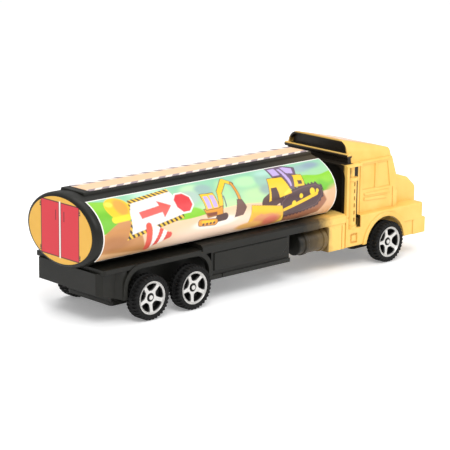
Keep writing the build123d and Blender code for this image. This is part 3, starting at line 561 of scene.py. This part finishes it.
def facet(u, v, *corners):
    """Distance outside a convex shape whose corners are given clockwise."""
    worst = np.full_like(u, -1e9)
    for start, end in zip(corners, corners[1:] + corners[:1]):
        run = np.subtract(end, start)
        run = run / np.hypot(*run)
        worst = np.maximum(worst, (v - start[1]) * run[0] - (u - start[0]) * run[1])
    return worst


def turned(u, v, cu, cv, degrees):
    """Coordinates about (cu, cv), turned anticlockwise."""
    c, s = math.cos(math.radians(degrees)), math.sin(math.radians(degrees))
    return (u - cu) * c + (v - cv) * s, (v - cv) * c - (u - cu) * s


def lay(picture, distance, ink, soft=0.15):
    """Paints ink where the distance is below zero."""
    share = 1 - smooth_step(-soft, soft, distance)
    return picture + (np.asarray(ink) - picture) * share[..., None]


def drawn(picture, distance, ink, line=0.28):
    """Paints a shape with a dark outline."""
    return lay(lay(picture, distance - line, INK), distance, ink)


print("a point 5 mm from the middle of a 3 mm disc is", float(disc(5.0, 0.0, 0, 0, 3)), "mm outside")

# %% The landscape
def landscape(u, v):
    """Mint sky with clouds, green hills and a sandy foreground."""
    picture = np.ones(u.shape + (4,)) * colour(158, 206, 160)
    picture = lay(picture, 27 - v + 2 * np.sin(u / 17), colour(140, 198, 164), 4)
    for cu, cv, ru, rv, ink in ((33, 31, 9, 2.6, (184, 222, 200)), (56, 28.5, 6, 2.6, (188, 226, 176)),
                                (62, 27, 5, 3.2, (146, 178, 170)), (53, 24.5, 5, 3.4, (172, 196, 182)),
                                (73, 25, 3.5, 5, (168, 214, 160)), (88, 27, 7, 3.0, (178, 226, 170)),
                                (98, 26, 5, 4.0, (150, 190, 172)), (90, 20, 8, 2.6, (178, 214, 158)),
                                (97, 21, 4, 2.4, (140, 168, 160)), (124, 28.5, 6, 2.4, (150, 180, 178)),
                                (131, 29.5, 5, 2.0, (136, 158, 172)), (102, 30, 6, 1.8, (170, 212, 196))):
        picture = lay(picture, disc(u, v, cu, cv, ru, rv), colour(*ink), 1.3)
    picture = lay(picture, v - 18.6 - 1.4 * np.sin(u / 8.5), colour(186, 228, 160), 1.5)
    rear_hill = facet(u, v, (-2, 33), (8, 30.6), (15, 27), (24, 20), (24, 8), (-2, 8))
    picture = lay(picture, rear_hill, colour(134, 200, 50), 0.4)
    picture = lay(picture, np.maximum(rear_hill + 0.3, v - 24.5 - np.sin(u / 2.2)), colour(108, 184, 34), 2.0)
    picture = lay(picture, disc(u, v, 49, 13, 10.5, 6.6), colour(128, 198, 34), 0.5)
    front_hill = np.maximum(v - 23.8 - 0.6 * np.sin(u / 3.1), 117 - u)
    picture = lay(picture, front_hill, colour(132, 200, 34), 0.35)
    picture = lay(picture, np.maximum(front_hill, v - 19.5 - np.sin(u / 1.7)), colour(104, 184, 30), 1.6)
    horizon = 15.6 + 0.9 * np.sin(u / 9 - 0.6) - 1.4 * smooth_step(118, 128, u)
    picture = lay(picture, v - horizon, colour(236, 200, 164), 0.2)
    picture = lay(picture, disc(u, v, 74, 3, 40, 9.5), colour(250, 220, 196), 3)
    picture = lay(picture, disc(u, v, 141, 9, 10, 8), colour(226, 178, 138), 2)
    mound = facet(u, v, (-6, 11.5), (5, 17), (13, 20.6), (19, 16.5), (27, 1), (27, -8), (-6, -8))
    picture = lay(picture, mound, colour(196, 136, 80), 0.35)
    picture = lay(picture, np.maximum(mound + 0.2, disc(u, v, 6, 10, 9, 3.6)), colour(176, 116, 66), 1.6)
    return lay(picture, v - 5.6 + 0.12 * u, colour(232, 182, 130), 0.7)


sample_u, sample_v = np.meshgrid(np.linspace(0, 140, 8), np.linspace(0, 33, 5))
sample = landscape(sample_u, sample_v)
print("landscape's mean colour", np.round(sample.mean(axis=(0, 1))[:3], 2))

# %% The helmet, board, octagon and cone
def stripes(along, pitch, first, second):
    """Two inks in turn along a distance."""
    return np.where(((along / pitch) % 1 < 0.5)[..., None], np.array(first), np.array(second))


def site_goods(picture, u, v):
    """A yellow helmet, a blank board with striped edges, a plain octagon and a striped cone."""
    picture = lay(picture, disc(u, v, 12.6, 26.0, 6.4, 6.2), colour(244, 196, 36), 0.25)
    picture = lay(picture, disc(u, v, 14.4, 26.2, 3.4, 4.6), colour(232, 160, 62), 1.0)
    picture = lay(picture, disc(u, v, 9.2, 28.6, 2.0, 1.6), colour(252, 220, 80), 0.6)
    picture = lay(picture, stroke(u, v, (8.0, 20.4), (15.6, 20.6), 2.8), colour(250, 212, 32), 0.25)
    board = facet(u, v, (19.6, 28.8), (43.9, 31.6), (45.6, 15.6), (13.2, 10.6))
    edging = stripes(u + 0.8 * v, 2.7, colour(238, 190, 56), colour(50, 42, 40))
    picture = lay(picture, board, edging, 0.1)
    inner = facet(u, v, (20.2, 26.8), (47, 29.9), (47, 17.6), (10, 11.9))
    side = facet(u, v, (19.6, 40), (46, 40), (46, 5), (14.6, 5))
    picture = lay(picture, np.maximum(np.maximum(inner, side), board), colour(230, 226, 224))
    a, b = turned(u, v, 31.0, 21.2, 6)
    arrow = np.minimum(np.maximum(np.abs(a + 2.5) - 6.5, np.abs(b) - 1.6),
                       facet(a, b, (3.2, 4.2), (9.4, 0), (3.2, -4.2)))
    picture = lay(picture, arrow, colour(218, 88, 80))
    a, b = np.abs(u - 47.6), np.abs(v - 22.6)
    octagon = np.maximum(np.maximum(a, b), (a + b) / math.sqrt(2)) - 5.2
    picture = lay(picture, octagon, colour(246, 232, 226))
    picture = lay(picture, octagon + 0.75, colour(212, 52, 58))
    cone = facet(u, v, (27.0, 16.0), (36.9, 10.6), (37.4, 7.5), (27.6, 3.9))
    cone = np.minimum(cone, disc(u, v, 37.0, 9.0, 1.7))
    along = u - 0.25 * (v - 10)
    share = np.where(((along < 30.4) | ((along > 32.7) & (along < 35.2)))[..., None],
                     np.array(colour(250, 240, 234)), np.array(colour(222, 74, 64)))
    picture = lay(picture, cone, share)
    return lay(picture, stroke(u, v, (25.1, 15.0), (26.4, 3.9), 3.3), colour(222, 84, 66))


sample = site_goods(sample, sample_u, sample_v)
print("with the site's goods", np.round(sample.mean(axis=(0, 1))[:3], 2))

# %% The two machines
YOLK = colour(248, 196, 36)
AMBER = colour(222, 148, 44)
GLASS = colour(188, 166, 216)
TRACK = colour(80, 54, 52)


def digger(picture, u, v):
    """A small tracked digger with a cab, a bent arm and a bucket."""
    picture = lay(picture, disc(u, v, 64, 10.6, 13, 2.6), colour(250, 236, 224), 0.6)
    picture = drawn(picture, stroke(u, v, (65.5, 12.3), (69.6, 12.5), 2.9), TRACK)
    picture = drawn(picture, stroke(u, v, (55.0, 11.7), (63.6, 10.9), 2.9), AMBER)
    picture = lay(picture, stroke(u, v, (56, 12.0), (63, 11.3), 1.1), YOLK)
    for start in (56.6, 58.8, 61.0, 63.0):
        picture = lay(picture, disc(u, v, start, 10.7, 0.6), TRACK)
    arm = np.minimum(stroke(u, v, (67.4, 17), (69.6, 24), 2.3),
                     stroke(u, v, (69.6, 24), (76.2, 30.0), 2.4))
    arm = np.minimum(arm, stroke(u, v, (76.2, 30.0), (79.2, 27.4), 2.0))
    picture = drawn(picture, arm, YOLK)
    picture = lay(picture, stroke(u, v, (70.6, 17), (70.8, 21.6), 0.8), colour(110, 112, 116))
    picture = drawn(picture, stroke(u, v, (79.2, 27.4), (79.4, 19.0), 1.3), AMBER)
    bucket = facet(u, v, (77.8, 18.8), (80.4, 18.4), (82.4, 14.8), (80.4, 11.8), (75.6, 11.4))
    picture = drawn(picture, bucket, colour(112, 78, 70))
    picture = drawn(picture, facet(u, v, (57.4, 17.4), (68.4, 17.2), (68.0, 14.0), (59.2, 13.6)), AMBER)
    grille = facet(u, v, (58.4, 15.6), (64.8, 15.4), (64.6, 14.0), (59.4, 13.8))
    picture = lay(picture, grille, colour(130, 68, 46))
    picture = drawn(picture, facet(u, v, (58.2, 24.6), (65.8, 24.2), (66.6, 17), (58.8, 17)), YOLK)
    for start in (59.2, 62.8):
        pane = facet(u, v, (start, 23.4), (start + 2.6, 23.2), (start + 3.0, 17.4), (start + 0.5, 17.4))
        picture = lay(picture, pane, GLASS)
    return picture


def dozer(picture, u, v):
    """A large bulldozer: blade, bonnet, cab, engine box and two long tracks."""
    shadow = facet(u, v, (103, 8), (131, 15), (134, 10.5), (131, 3.6), (121, 0.9), (106, 2))
    picture = lay(picture, shadow, colour(160, 102, 72), 0.5)
    picture = lay(picture, stroke(u, v, (95.6, 14.2), (103, 17.2), 7.0), TRACK)
    loop = facet(u, v, (103.4, 14.2), (109.6, 18.2), (119, 19.8), (127.4, 19.9), (130.8, 18),
                 (131.8, 13.6), (128, 8.2), (119, 6.0), (108.6, 4.9), (104.2, 8.0))
    tooth = 0.3 * np.sign(np.sin((u + 0.5 * v) * 2.8))
    picture = lay(picture, loop - tooth, colour(70, 46, 50))
    picture = lay(picture, loop + 1.0, colour(98, 70, 76), 0.2)
    picture = lay(picture, loop + 1.5, colour(74, 50, 54), 0.3)
    picture = drawn(picture, stroke(u, v, (106.4, 9.6), (127.0, 14.6), 1.7), YOLK, 0.2)
    for cu, cv, r in ((112.4, 12.0, 1.3), (117.0, 14.8, 1.1), (124.4, 15.9, 1.6), (127.6, 15.8, 0.9)):
        picture = lay(picture, disc(u, v, cu, cv, r), colour(250, 208, 40))
    picture = drawn(picture, facet(u, v, (100.4, 26.0), (109.4, 25.4), (111.6, 17.0), (96.6, 15.0)), YOLK)
    vent = facet(u, v, (99.6, 21), (103.2, 21), (103.6, 15.2), (98.0, 15.2))
    picture = lay(picture, vent, colour(70, 44, 44))
    picture = lay(picture, stroke(u, v, (107.4, 17.2), (110.6, 18.6), 1.3), colour(252, 216, 60), 0.3)
    picture = drawn(picture, facet(u, v, (115.2, 26.2), (121.2, 24.8), (120.6, 19.4), (113.8, 19.4)), YOLK)
    picture = lay(picture, facet(u, v, (117.2, 22.4), (119.8, 22.0), (119.6, 20.2), (117.0, 20.3)), TRACK)
    frame_ink = colour(104, 82, 108)
    cab = facet(u, v, (104.2, 32.2), (114.5, 32.2), (120.4, 29.8), (118.4, 25.6), (104.2, 26.2))
    picture = drawn(picture, cab, frame_ink)
    pillar = facet(u, v, (109.2, 27), (114.8, 27), (115.8, 24.6), (113.4, 18.6), (111.4, 19))
    picture = drawn(picture, pillar, frame_ink)
    for pane in (((104.9, 31.4), (109.0, 31.5), (109.4, 26.8), (105.0, 26.9)),
                 ((112.6, 31.5), (115.0, 31.3), (118.8, 29.6), (117.4, 26.4), (113.6, 27.2)),
                 ((110.2, 30.6), (112.0, 30.6), (112.6, 27.2), (113.4, 24), (112.9, 20.2), (112.0, 20.2))):
        picture = lay(picture, facet(u, v, *pane), GLASS)
    blade = facet(u, v, (85.8, 15.0), (104.8, 12.0), (108.8, 2.4), (104.4, 1.2), (85.2, 6.6))
    picture = drawn(picture, blade, colour(246, 194, 40), 0.15)
    picture = lay(picture, np.maximum(blade + 0.6, v - 11.6 + 0.15 * (u - 86)), colour(236, 176, 46), 1.2)
    picture = lay(picture, np.maximum(blade, 105.2 - u + 0.35 * (v - 2)), colour(252, 214, 84), 0.2)
    heap = np.minimum(disc(u, v, 96.5, 4.6, 9.4, 4.8), disc(u, v, 92, 7.5, 4, 2.4))
    picture = lay(picture, heap + 0.25 * np.sin(u * 2.1) * np.sin(v * 2.7), colour(224, 146, 92), 0.5)
    picture = lay(picture, disc(u, v, 99.5, 5.0, 4.6, 3.0), colour(222, 118, 92), 0.7)
    return lay(picture, disc(u, v, 86.5, 4.2, 8.0, 2.4), colour(238, 180, 98), 0.7)


sample = dozer(digger(sample, sample_u, sample_v), sample_u, sample_v)
print("with both machines", np.round(sample.mean(axis=(0, 1))[:3], 2))

# %% The curved sheets that carry the picture
SHEET_LIFT = 0.01
SHEET_THICK = 0.15
SHEET_TOP_Y = 12.5
SHEET_ROWS = 112
SHEET_COLS = 420


def flank_sheet(node, side):
    """Points (x, side (a + h) cos t, zc + (b + h) sin t) on the tank's flank, and the sheet's own
    coordinates: u along it in millimetres, and v the length of arc up from its lower edge."""
    low, high = box_mm(node)
    lift = SHEET_LIFT + SHEET_THICK
    a, b = tank_half_width + lift, tank_half_height + lift
    t0 = math.asin((low[2] - tank_centre_z) / b)
    t1 = math.acos(SHEET_TOP_Y / a)
    t = np.linspace(t0, t1, SHEET_ROWS)
    arc = np.concatenate([[0], np.cumsum(np.hypot(a * np.diff(np.cos(t)), b * np.diff(np.sin(t))))])
    x = np.linspace(low[0], high[0], SHEET_COLS)
    grid_x, grid_t = np.meshgrid(x, t)
    points = np.stack([grid_x, side * a * np.cos(grid_t), tank_centre_z + b * np.sin(grid_t)], axis=-1)
    u = grid_x - low[0]
    return points, (u if side < 0 else u.max() - u), np.repeat(arc[:, None], SHEET_COLS, axis=1)


def flank_print():
    """The picture's colours under a clear film, with a faint unevenness from the tank below."""
    finish = Finish("flank_print", 0.33, coat=0.05)
    picture = finish.node("ShaderNodeAttribute", {"attribute_name": "picture"}).outputs["Color"]
    faded = finish.mix(finish.noise(0.15, 3.0) * 0.04, picture, colour(255, 244, 230))
    finish.feed(Base_Color=faded, Roughness=finish.noise(0.3, 2.0) * 0.12 + 0.27)
    return finish.relief(finish.noise(0.15, 2.0), 0.03).material


flank_finish = flank_print()


def flank_picture(node, side):
    """One printed sheet: the curved grid, its colours as an attribute, and its thickness inwards."""
    points, u, v = flank_sheet(node, side)
    picture = dozer(digger(site_goods(landscape(u, v), u, v), u, v), u, v)
    edge = np.minimum(np.minimum(u, u.max() - u), np.minimum(v, v.max() - v))
    picture = lay(picture, edge - 0.5, colour(250, 246, 240))
    rows, cols = u.shape
    faces = grid_faces(rows, cols, False, False)
    mesh = bpy.data.meshes.new("printed_" + node)
    mesh.from_pydata(points.reshape(-1, 3) * MM, [], (faces if side < 0 else faces[:, ::-1]).tolist())
    shades = mesh.color_attributes.new("picture", "FLOAT_COLOR", "POINT")
    shades.data.foreach_set("color", picture.astype(np.float32).ravel())
    mesh.shade_smooth()
    sheet = adopt(bpy.data.objects.new("printed_" + node, mesh), BODY, (node,))
    mesh.materials.append(flank_finish)
    body = sheet.modifiers.new("thickness", "SOLIDIFY")
    body.thickness = SHEET_THICK * MM
    body.offset = -1
    return sheet


for node, side in (("right_side_sticker", -1), ("left_side_sticker", 1)):
    sheet = flank_picture(node, side)
    print(sheet.name, len(sheet.data.polygons), "faces")

# %% [markdown]
# ## Tyres and hubs
# A tyre is one closed outline turned about the axle.  Its tread is cut by drawing the outline in
# where a square wave of the turning angle is high, with the two shoulders out of step.  A hub is a
# disc whose height is a formula of radius and angle: rim, five spokes, deep windows and a button.

# %% The turned surfaces
TREAD_BLOCKS = 34
TREAD_DEPTH = 0.55
RIM_RADIUS = 7.4
WHEEL_RADIUS = 10.0


def square_wave(phase, soft=0.2):
    """A wave between 0 and 1 with steep sides."""
    return smooth_step(-soft, soft, np.sin(phase))


def tyre_points(x, middle_y, half_width):
    """The outline (r(k), y(k)) turned about the axle; r loses the tread's depth between blocks."""
    corner = np.linspace(0, np.pi / 2, 7)
    shoulder = 1.15
    wall = np.array([[RIM_RADIUS, 0.90], [RIM_RADIUS + 0.12, 0.99], [RIM_RADIUS + 0.5, 1.0],
                     [RIM_RADIUS + 0.9, 0.985], [RIM_RADIUS + 1.0, 0.955], [RIM_RADIUS + 1.1, 0.985]])
    outer = np.column_stack([wall[:, 0], wall[:, 1] * half_width])
    bend = np.column_stack([WHEEL_RADIUS - shoulder + shoulder * np.sin(corner),
                            half_width - shoulder + shoulder * np.cos(corner)])
    flat = np.column_stack([np.full(14, WHEEL_RADIUS), np.linspace(half_width - shoulder, 0, 14)])[1:]
    half = np.concatenate([outer, bend, flat])
    profile = np.concatenate([half, (half * [1, -1])[::-1][1:]])
    angle = np.linspace(0, 2 * np.pi, TREAD_BLOCKS * 8, endpoint=False)
    r, turn = np.meshgrid(profile[:, 0], angle, indexing="ij")
    y = np.repeat(profile[:, 1:], len(angle), axis=1)
    step = TREAD_BLOCKS * turn + np.where(y > 0, 0, np.pi) + 0.7 * np.abs(y)
    band = smooth_step(8.7, 9.3, r) * smooth_step(0.5, 0.8, np.abs(y))
    centre = 1 - smooth_step(0.25, 0.5, np.abs(y))
    r = r - TREAD_DEPTH * square_wave(step) * band - 0.35 * centre * (r > 9)
    return np.stack([x + r * np.cos(turn), middle_y + y, WHEEL_RADIUS + r * np.sin(turn)], axis=-1)


SPOKES = 5
WINDOW_DEPTH = 2.4
FACE_EDGE = 0.12
RIM_WALL = 1
BACK_RECESS = 0.8
COLLAR_RADIUS = 2.6
BORE_RADIUS = 1.02
BORE_END = 3.4


def window_share(r, turn):
    """The windows' depth and painted shade, 1 inside: sectors between two radii, less spokes of even
    width, with rounded corners.  The black painted shade reaches a little further, over the window's walls."""
    nearest = (turn * SPOKES / (2 * np.pi) + 0.5) % 1 - 0.5
    spoke = r * np.sin(np.abs(nearest) * 2 * np.pi / SPOKES)
    inward = np.stack([3.0 - r, r - 6.3, 1.15 - 0.05 * r - spoke])
    rounding = 0.75
    outside = np.sqrt((np.maximum(inward + rounding, 0) ** 2).sum(axis=0)) - rounding
    distance = np.maximum(outside, inward.max(axis=0))
    return 1 - smooth_step(-0.16, 0.1, distance), 1 - smooth_step(0.02, 0.16, distance)


def hub_points(x, side, face_y, back_y, start_angle):
    """The face's height over radius and angle, then the rim's side, the back and the bore."""
    turn = np.linspace(0, 2 * np.pi, 240, endpoint=False)
    radii = np.concatenate([np.linspace(0, 2.2, 23), np.linspace(2.35, RIM_RADIUS - 0.05, 50)])
    r, angle = np.meshgrid(radii, turn, indexing="ij")
    rim_groove = smooth_step(6.5, 6.75, r) * (1 - smooth_step(7.0, 7.3, r))
    dish = 0.75 * (1 - smooth_step(1.9, 6.6, r)) + 0.35 * rim_groove
    button_ring = smooth_step(1.05, 1.2, r) * (1 - smooth_step(1.8, 2.0, r))
    button = 0.45 * (1 - smooth_step(1.0, 1.15, r)) - 0.7 * button_ring
    window, shade = window_share(r, angle + start_angle)
    y = -0.35 - dish + button - WINDOW_DEPTH * window + 0.35 * smooth_step(6.2, 6.5, r)
    # Painted shade: the groove round the button is coloured black, like the windows.
    ring = smooth_step(0.95, 1.05, r) * (1 - smooth_step(1.85, 2.0, r))
    dark = np.maximum(shade, ring)
    depth = abs(face_y - back_y)
    floor = -depth + BACK_RECESS
    closing = [(RIM_RADIUS, -FACE_EDGE), (RIM_RADIUS, -depth), (RIM_RADIUS - RIM_WALL, -depth),
               (RIM_RADIUS - RIM_WALL, floor), (COLLAR_RADIUS, floor), (COLLAR_RADIUS, -depth),
               (BORE_RADIUS, -depth), (BORE_RADIUS, -BORE_END), (0, -BORE_END)]
    back = np.array([[np.full(len(turn), rr), np.full(len(turn), yy)] for rr, yy in closing])
    r = np.concatenate([r, back[:, 0]])
    y = np.concatenate([y, back[:, 1]])
    dark = np.concatenate([dark, np.zeros((len(closing), len(turn)))])
    points = np.stack([x + r * np.cos(turn), face_y + side * y, WHEEL_RADIUS + r * np.sin(turn)],
                      axis=-1)
    return points, dark


print("a tyre's grid is", tyre_points(0.0, 0.0, 4.0).shape[:2], "points")

# %% Making the six wheels
def paint_window_shade(hub, points, dark):
    """Stores the painted shade of the windows and the button's groove on the hub's points, matched by place
    after doubles were merged.
    """
    places = np.round(points.reshape(-1, 3), 3).tolist()
    keys = {tuple(key): share for key, share in zip(places, dark.ravel())}
    co = np.zeros(len(hub.data.vertices) * 3)
    hub.data.vertices.foreach_get("co", co)
    found = [keys.get(tuple(key), 0.0) for key in np.round(co.reshape(-1, 3) / MM, 3).tolist()]
    share = hub.data.attributes.new("window", "FLOAT", "POINT")
    share.data.foreach_set("value", np.array(found, dtype=np.float32))


def wheel(axle, side_name, side, start_angle):
    """The tyre and hub on one end of one axle."""
    name = f"{axle}_{side_name}"
    body = axle + "_wheels"
    low, high = box_mm(name + "_tyre")
    x = (low[0] + high[0]) / 2
    tyre = piece(name + "_tyre_tread", tyre_points(x, (low[1] + high[1]) / 2, (high[1] - low[1]) / 2),
                 wrap_rows=True, wrap_cols=True, body=body, replaces=(name + "_tyre",))
    tyre.data.materials.append(rubber)
    low, high = box_mm(name + "_hub")
    face_y, back_y = (high[1], low[1]) if side > 0 else (low[1], high[1])
    points, dark = hub_points(x, side, face_y, back_y, start_angle)
    hub = piece(name + "_hub_face", points, wrap_cols=True, body=body,
                replaces=(name + "_hub",))
    paint_window_shade(hub, points, dark)
    hub.data.materials.append(silver)


FIRST_TURN = 18
TURN_STEP = 9
for number, axle in enumerate(("rear", "middle", "front")):
    for side_name, side in (("left", 1), ("right", -1)):
        wheel(axle, side_name, side, math.radians(FIRST_TURN + TURN_STEP * number))
print("six wheels,", TREAD_BLOCKS, "tread blocks and", SPOKES, "spokes on each")

# %% [markdown]
# ## Floor, light and camera
# The toy stands on a white table under large soft lights, so its shadow is faint and wide.  The table
# also glows a little, because its far side gets less light and would turn grey.

# %% Floor and light
FLOOR_REACH = 3.0
FLOOR_GLOW = 0.24
WORLD_STRENGTH = 0.55


def stage_floor():
    """A wide white sheet on the ground."""
    mesh = bpy.data.meshes.new("floor")
    far = FLOOR_REACH
    corners = [(-far, -far, 0), (far, -far, 0), (far, far, 0), (-far, far, 0)]
    mesh.from_pydata(corners, [], [(0, 1, 2, 3)])
    floor = bpy.data.objects.new("floor", mesh)
    bpy.context.scene.collection.objects.link(floor)
    finish = Finish("floor_white", 0.6)
    white, off_white = (0.93, 0.93, 0.93, 1), (0.91, 0.91, 0.91, 1)
    finish.feed(Base_Color=finish.mix(finish.noise(0.002, 2.0), white, off_white))
    finish.shader.inputs["Emission Color"].default_value = (1, 1, 1, 1)
    finish.shader.inputs["Emission Strength"].default_value = FLOOR_GLOW
    mesh.materials.append(finish.material)


def soft_light(name, place, aim, size, power):
    """A square area light that faces a point."""
    lamp = bpy.data.lights.new(name, "AREA")
    lamp.size = size
    lamp.energy = power
    made = bpy.data.objects.new(name, lamp)
    made.location = place
    made.rotation_euler = (Vector(aim) - Vector(place)).to_track_quat("-Z", "Y").to_euler()
    bpy.context.scene.collection.objects.link(made)


stage_floor()
middle = Vector((0.0, 0.0, 0.03))
soft_light("key", (-0.5, -0.7, 1.1), middle, 0.7, 9.5)
soft_light("fill", (0.9, -0.9, 0.7), middle, 0.9, 5.2)
soft_light("top", (0.1, 0.3, 1.3), middle, 1.0, 6.6)
world = bpy.data.worlds.new("white_room")
world.use_nodes = True
world.node_tree.nodes["Background"].inputs["Color"].default_value = (1, 1, 1, 1)
world.node_tree.nodes["Background"].inputs["Strength"].default_value = WORLD_STRENGTH
bpy.context.scene.world = world
bpy.context.scene.view_settings.view_transform = "Standard"
print("floor", 2 * FLOOR_REACH, "m wide, background strength", WORLD_STRENGTH)

# %% Camera
AZIMUTH = -43.1
ELEVATION = 13.75
ROLL = 0.64
CAMERA_PLACE = (-0.5983, -0.6304, 0.2377)
LENS = 154.64


def place_camera():
    """A long lens from the truck's right rear, a little above it."""
    camera = bpy.data.cameras.new("camera")
    camera.lens = LENS
    camera.sensor_width = 36
    made = bpy.data.objects.new("camera", camera)
    aim = Matrix.Rotation(math.radians(AZIMUTH), 4, "Z")
    turn = aim @ Matrix.Rotation(math.radians(90 - ELEVATION), 4, "X")
    roll = Matrix.Rotation(math.radians(ROLL), 4, "Z")
    made.matrix_world = Matrix.Translation(CAMERA_PLACE) @ turn @ roll
    bpy.context.scene.collection.objects.link(made)
    bpy.context.scene.camera = made


place_camera()
print("lens", LENS, "mm,", ELEVATION, "degrees above the ground")
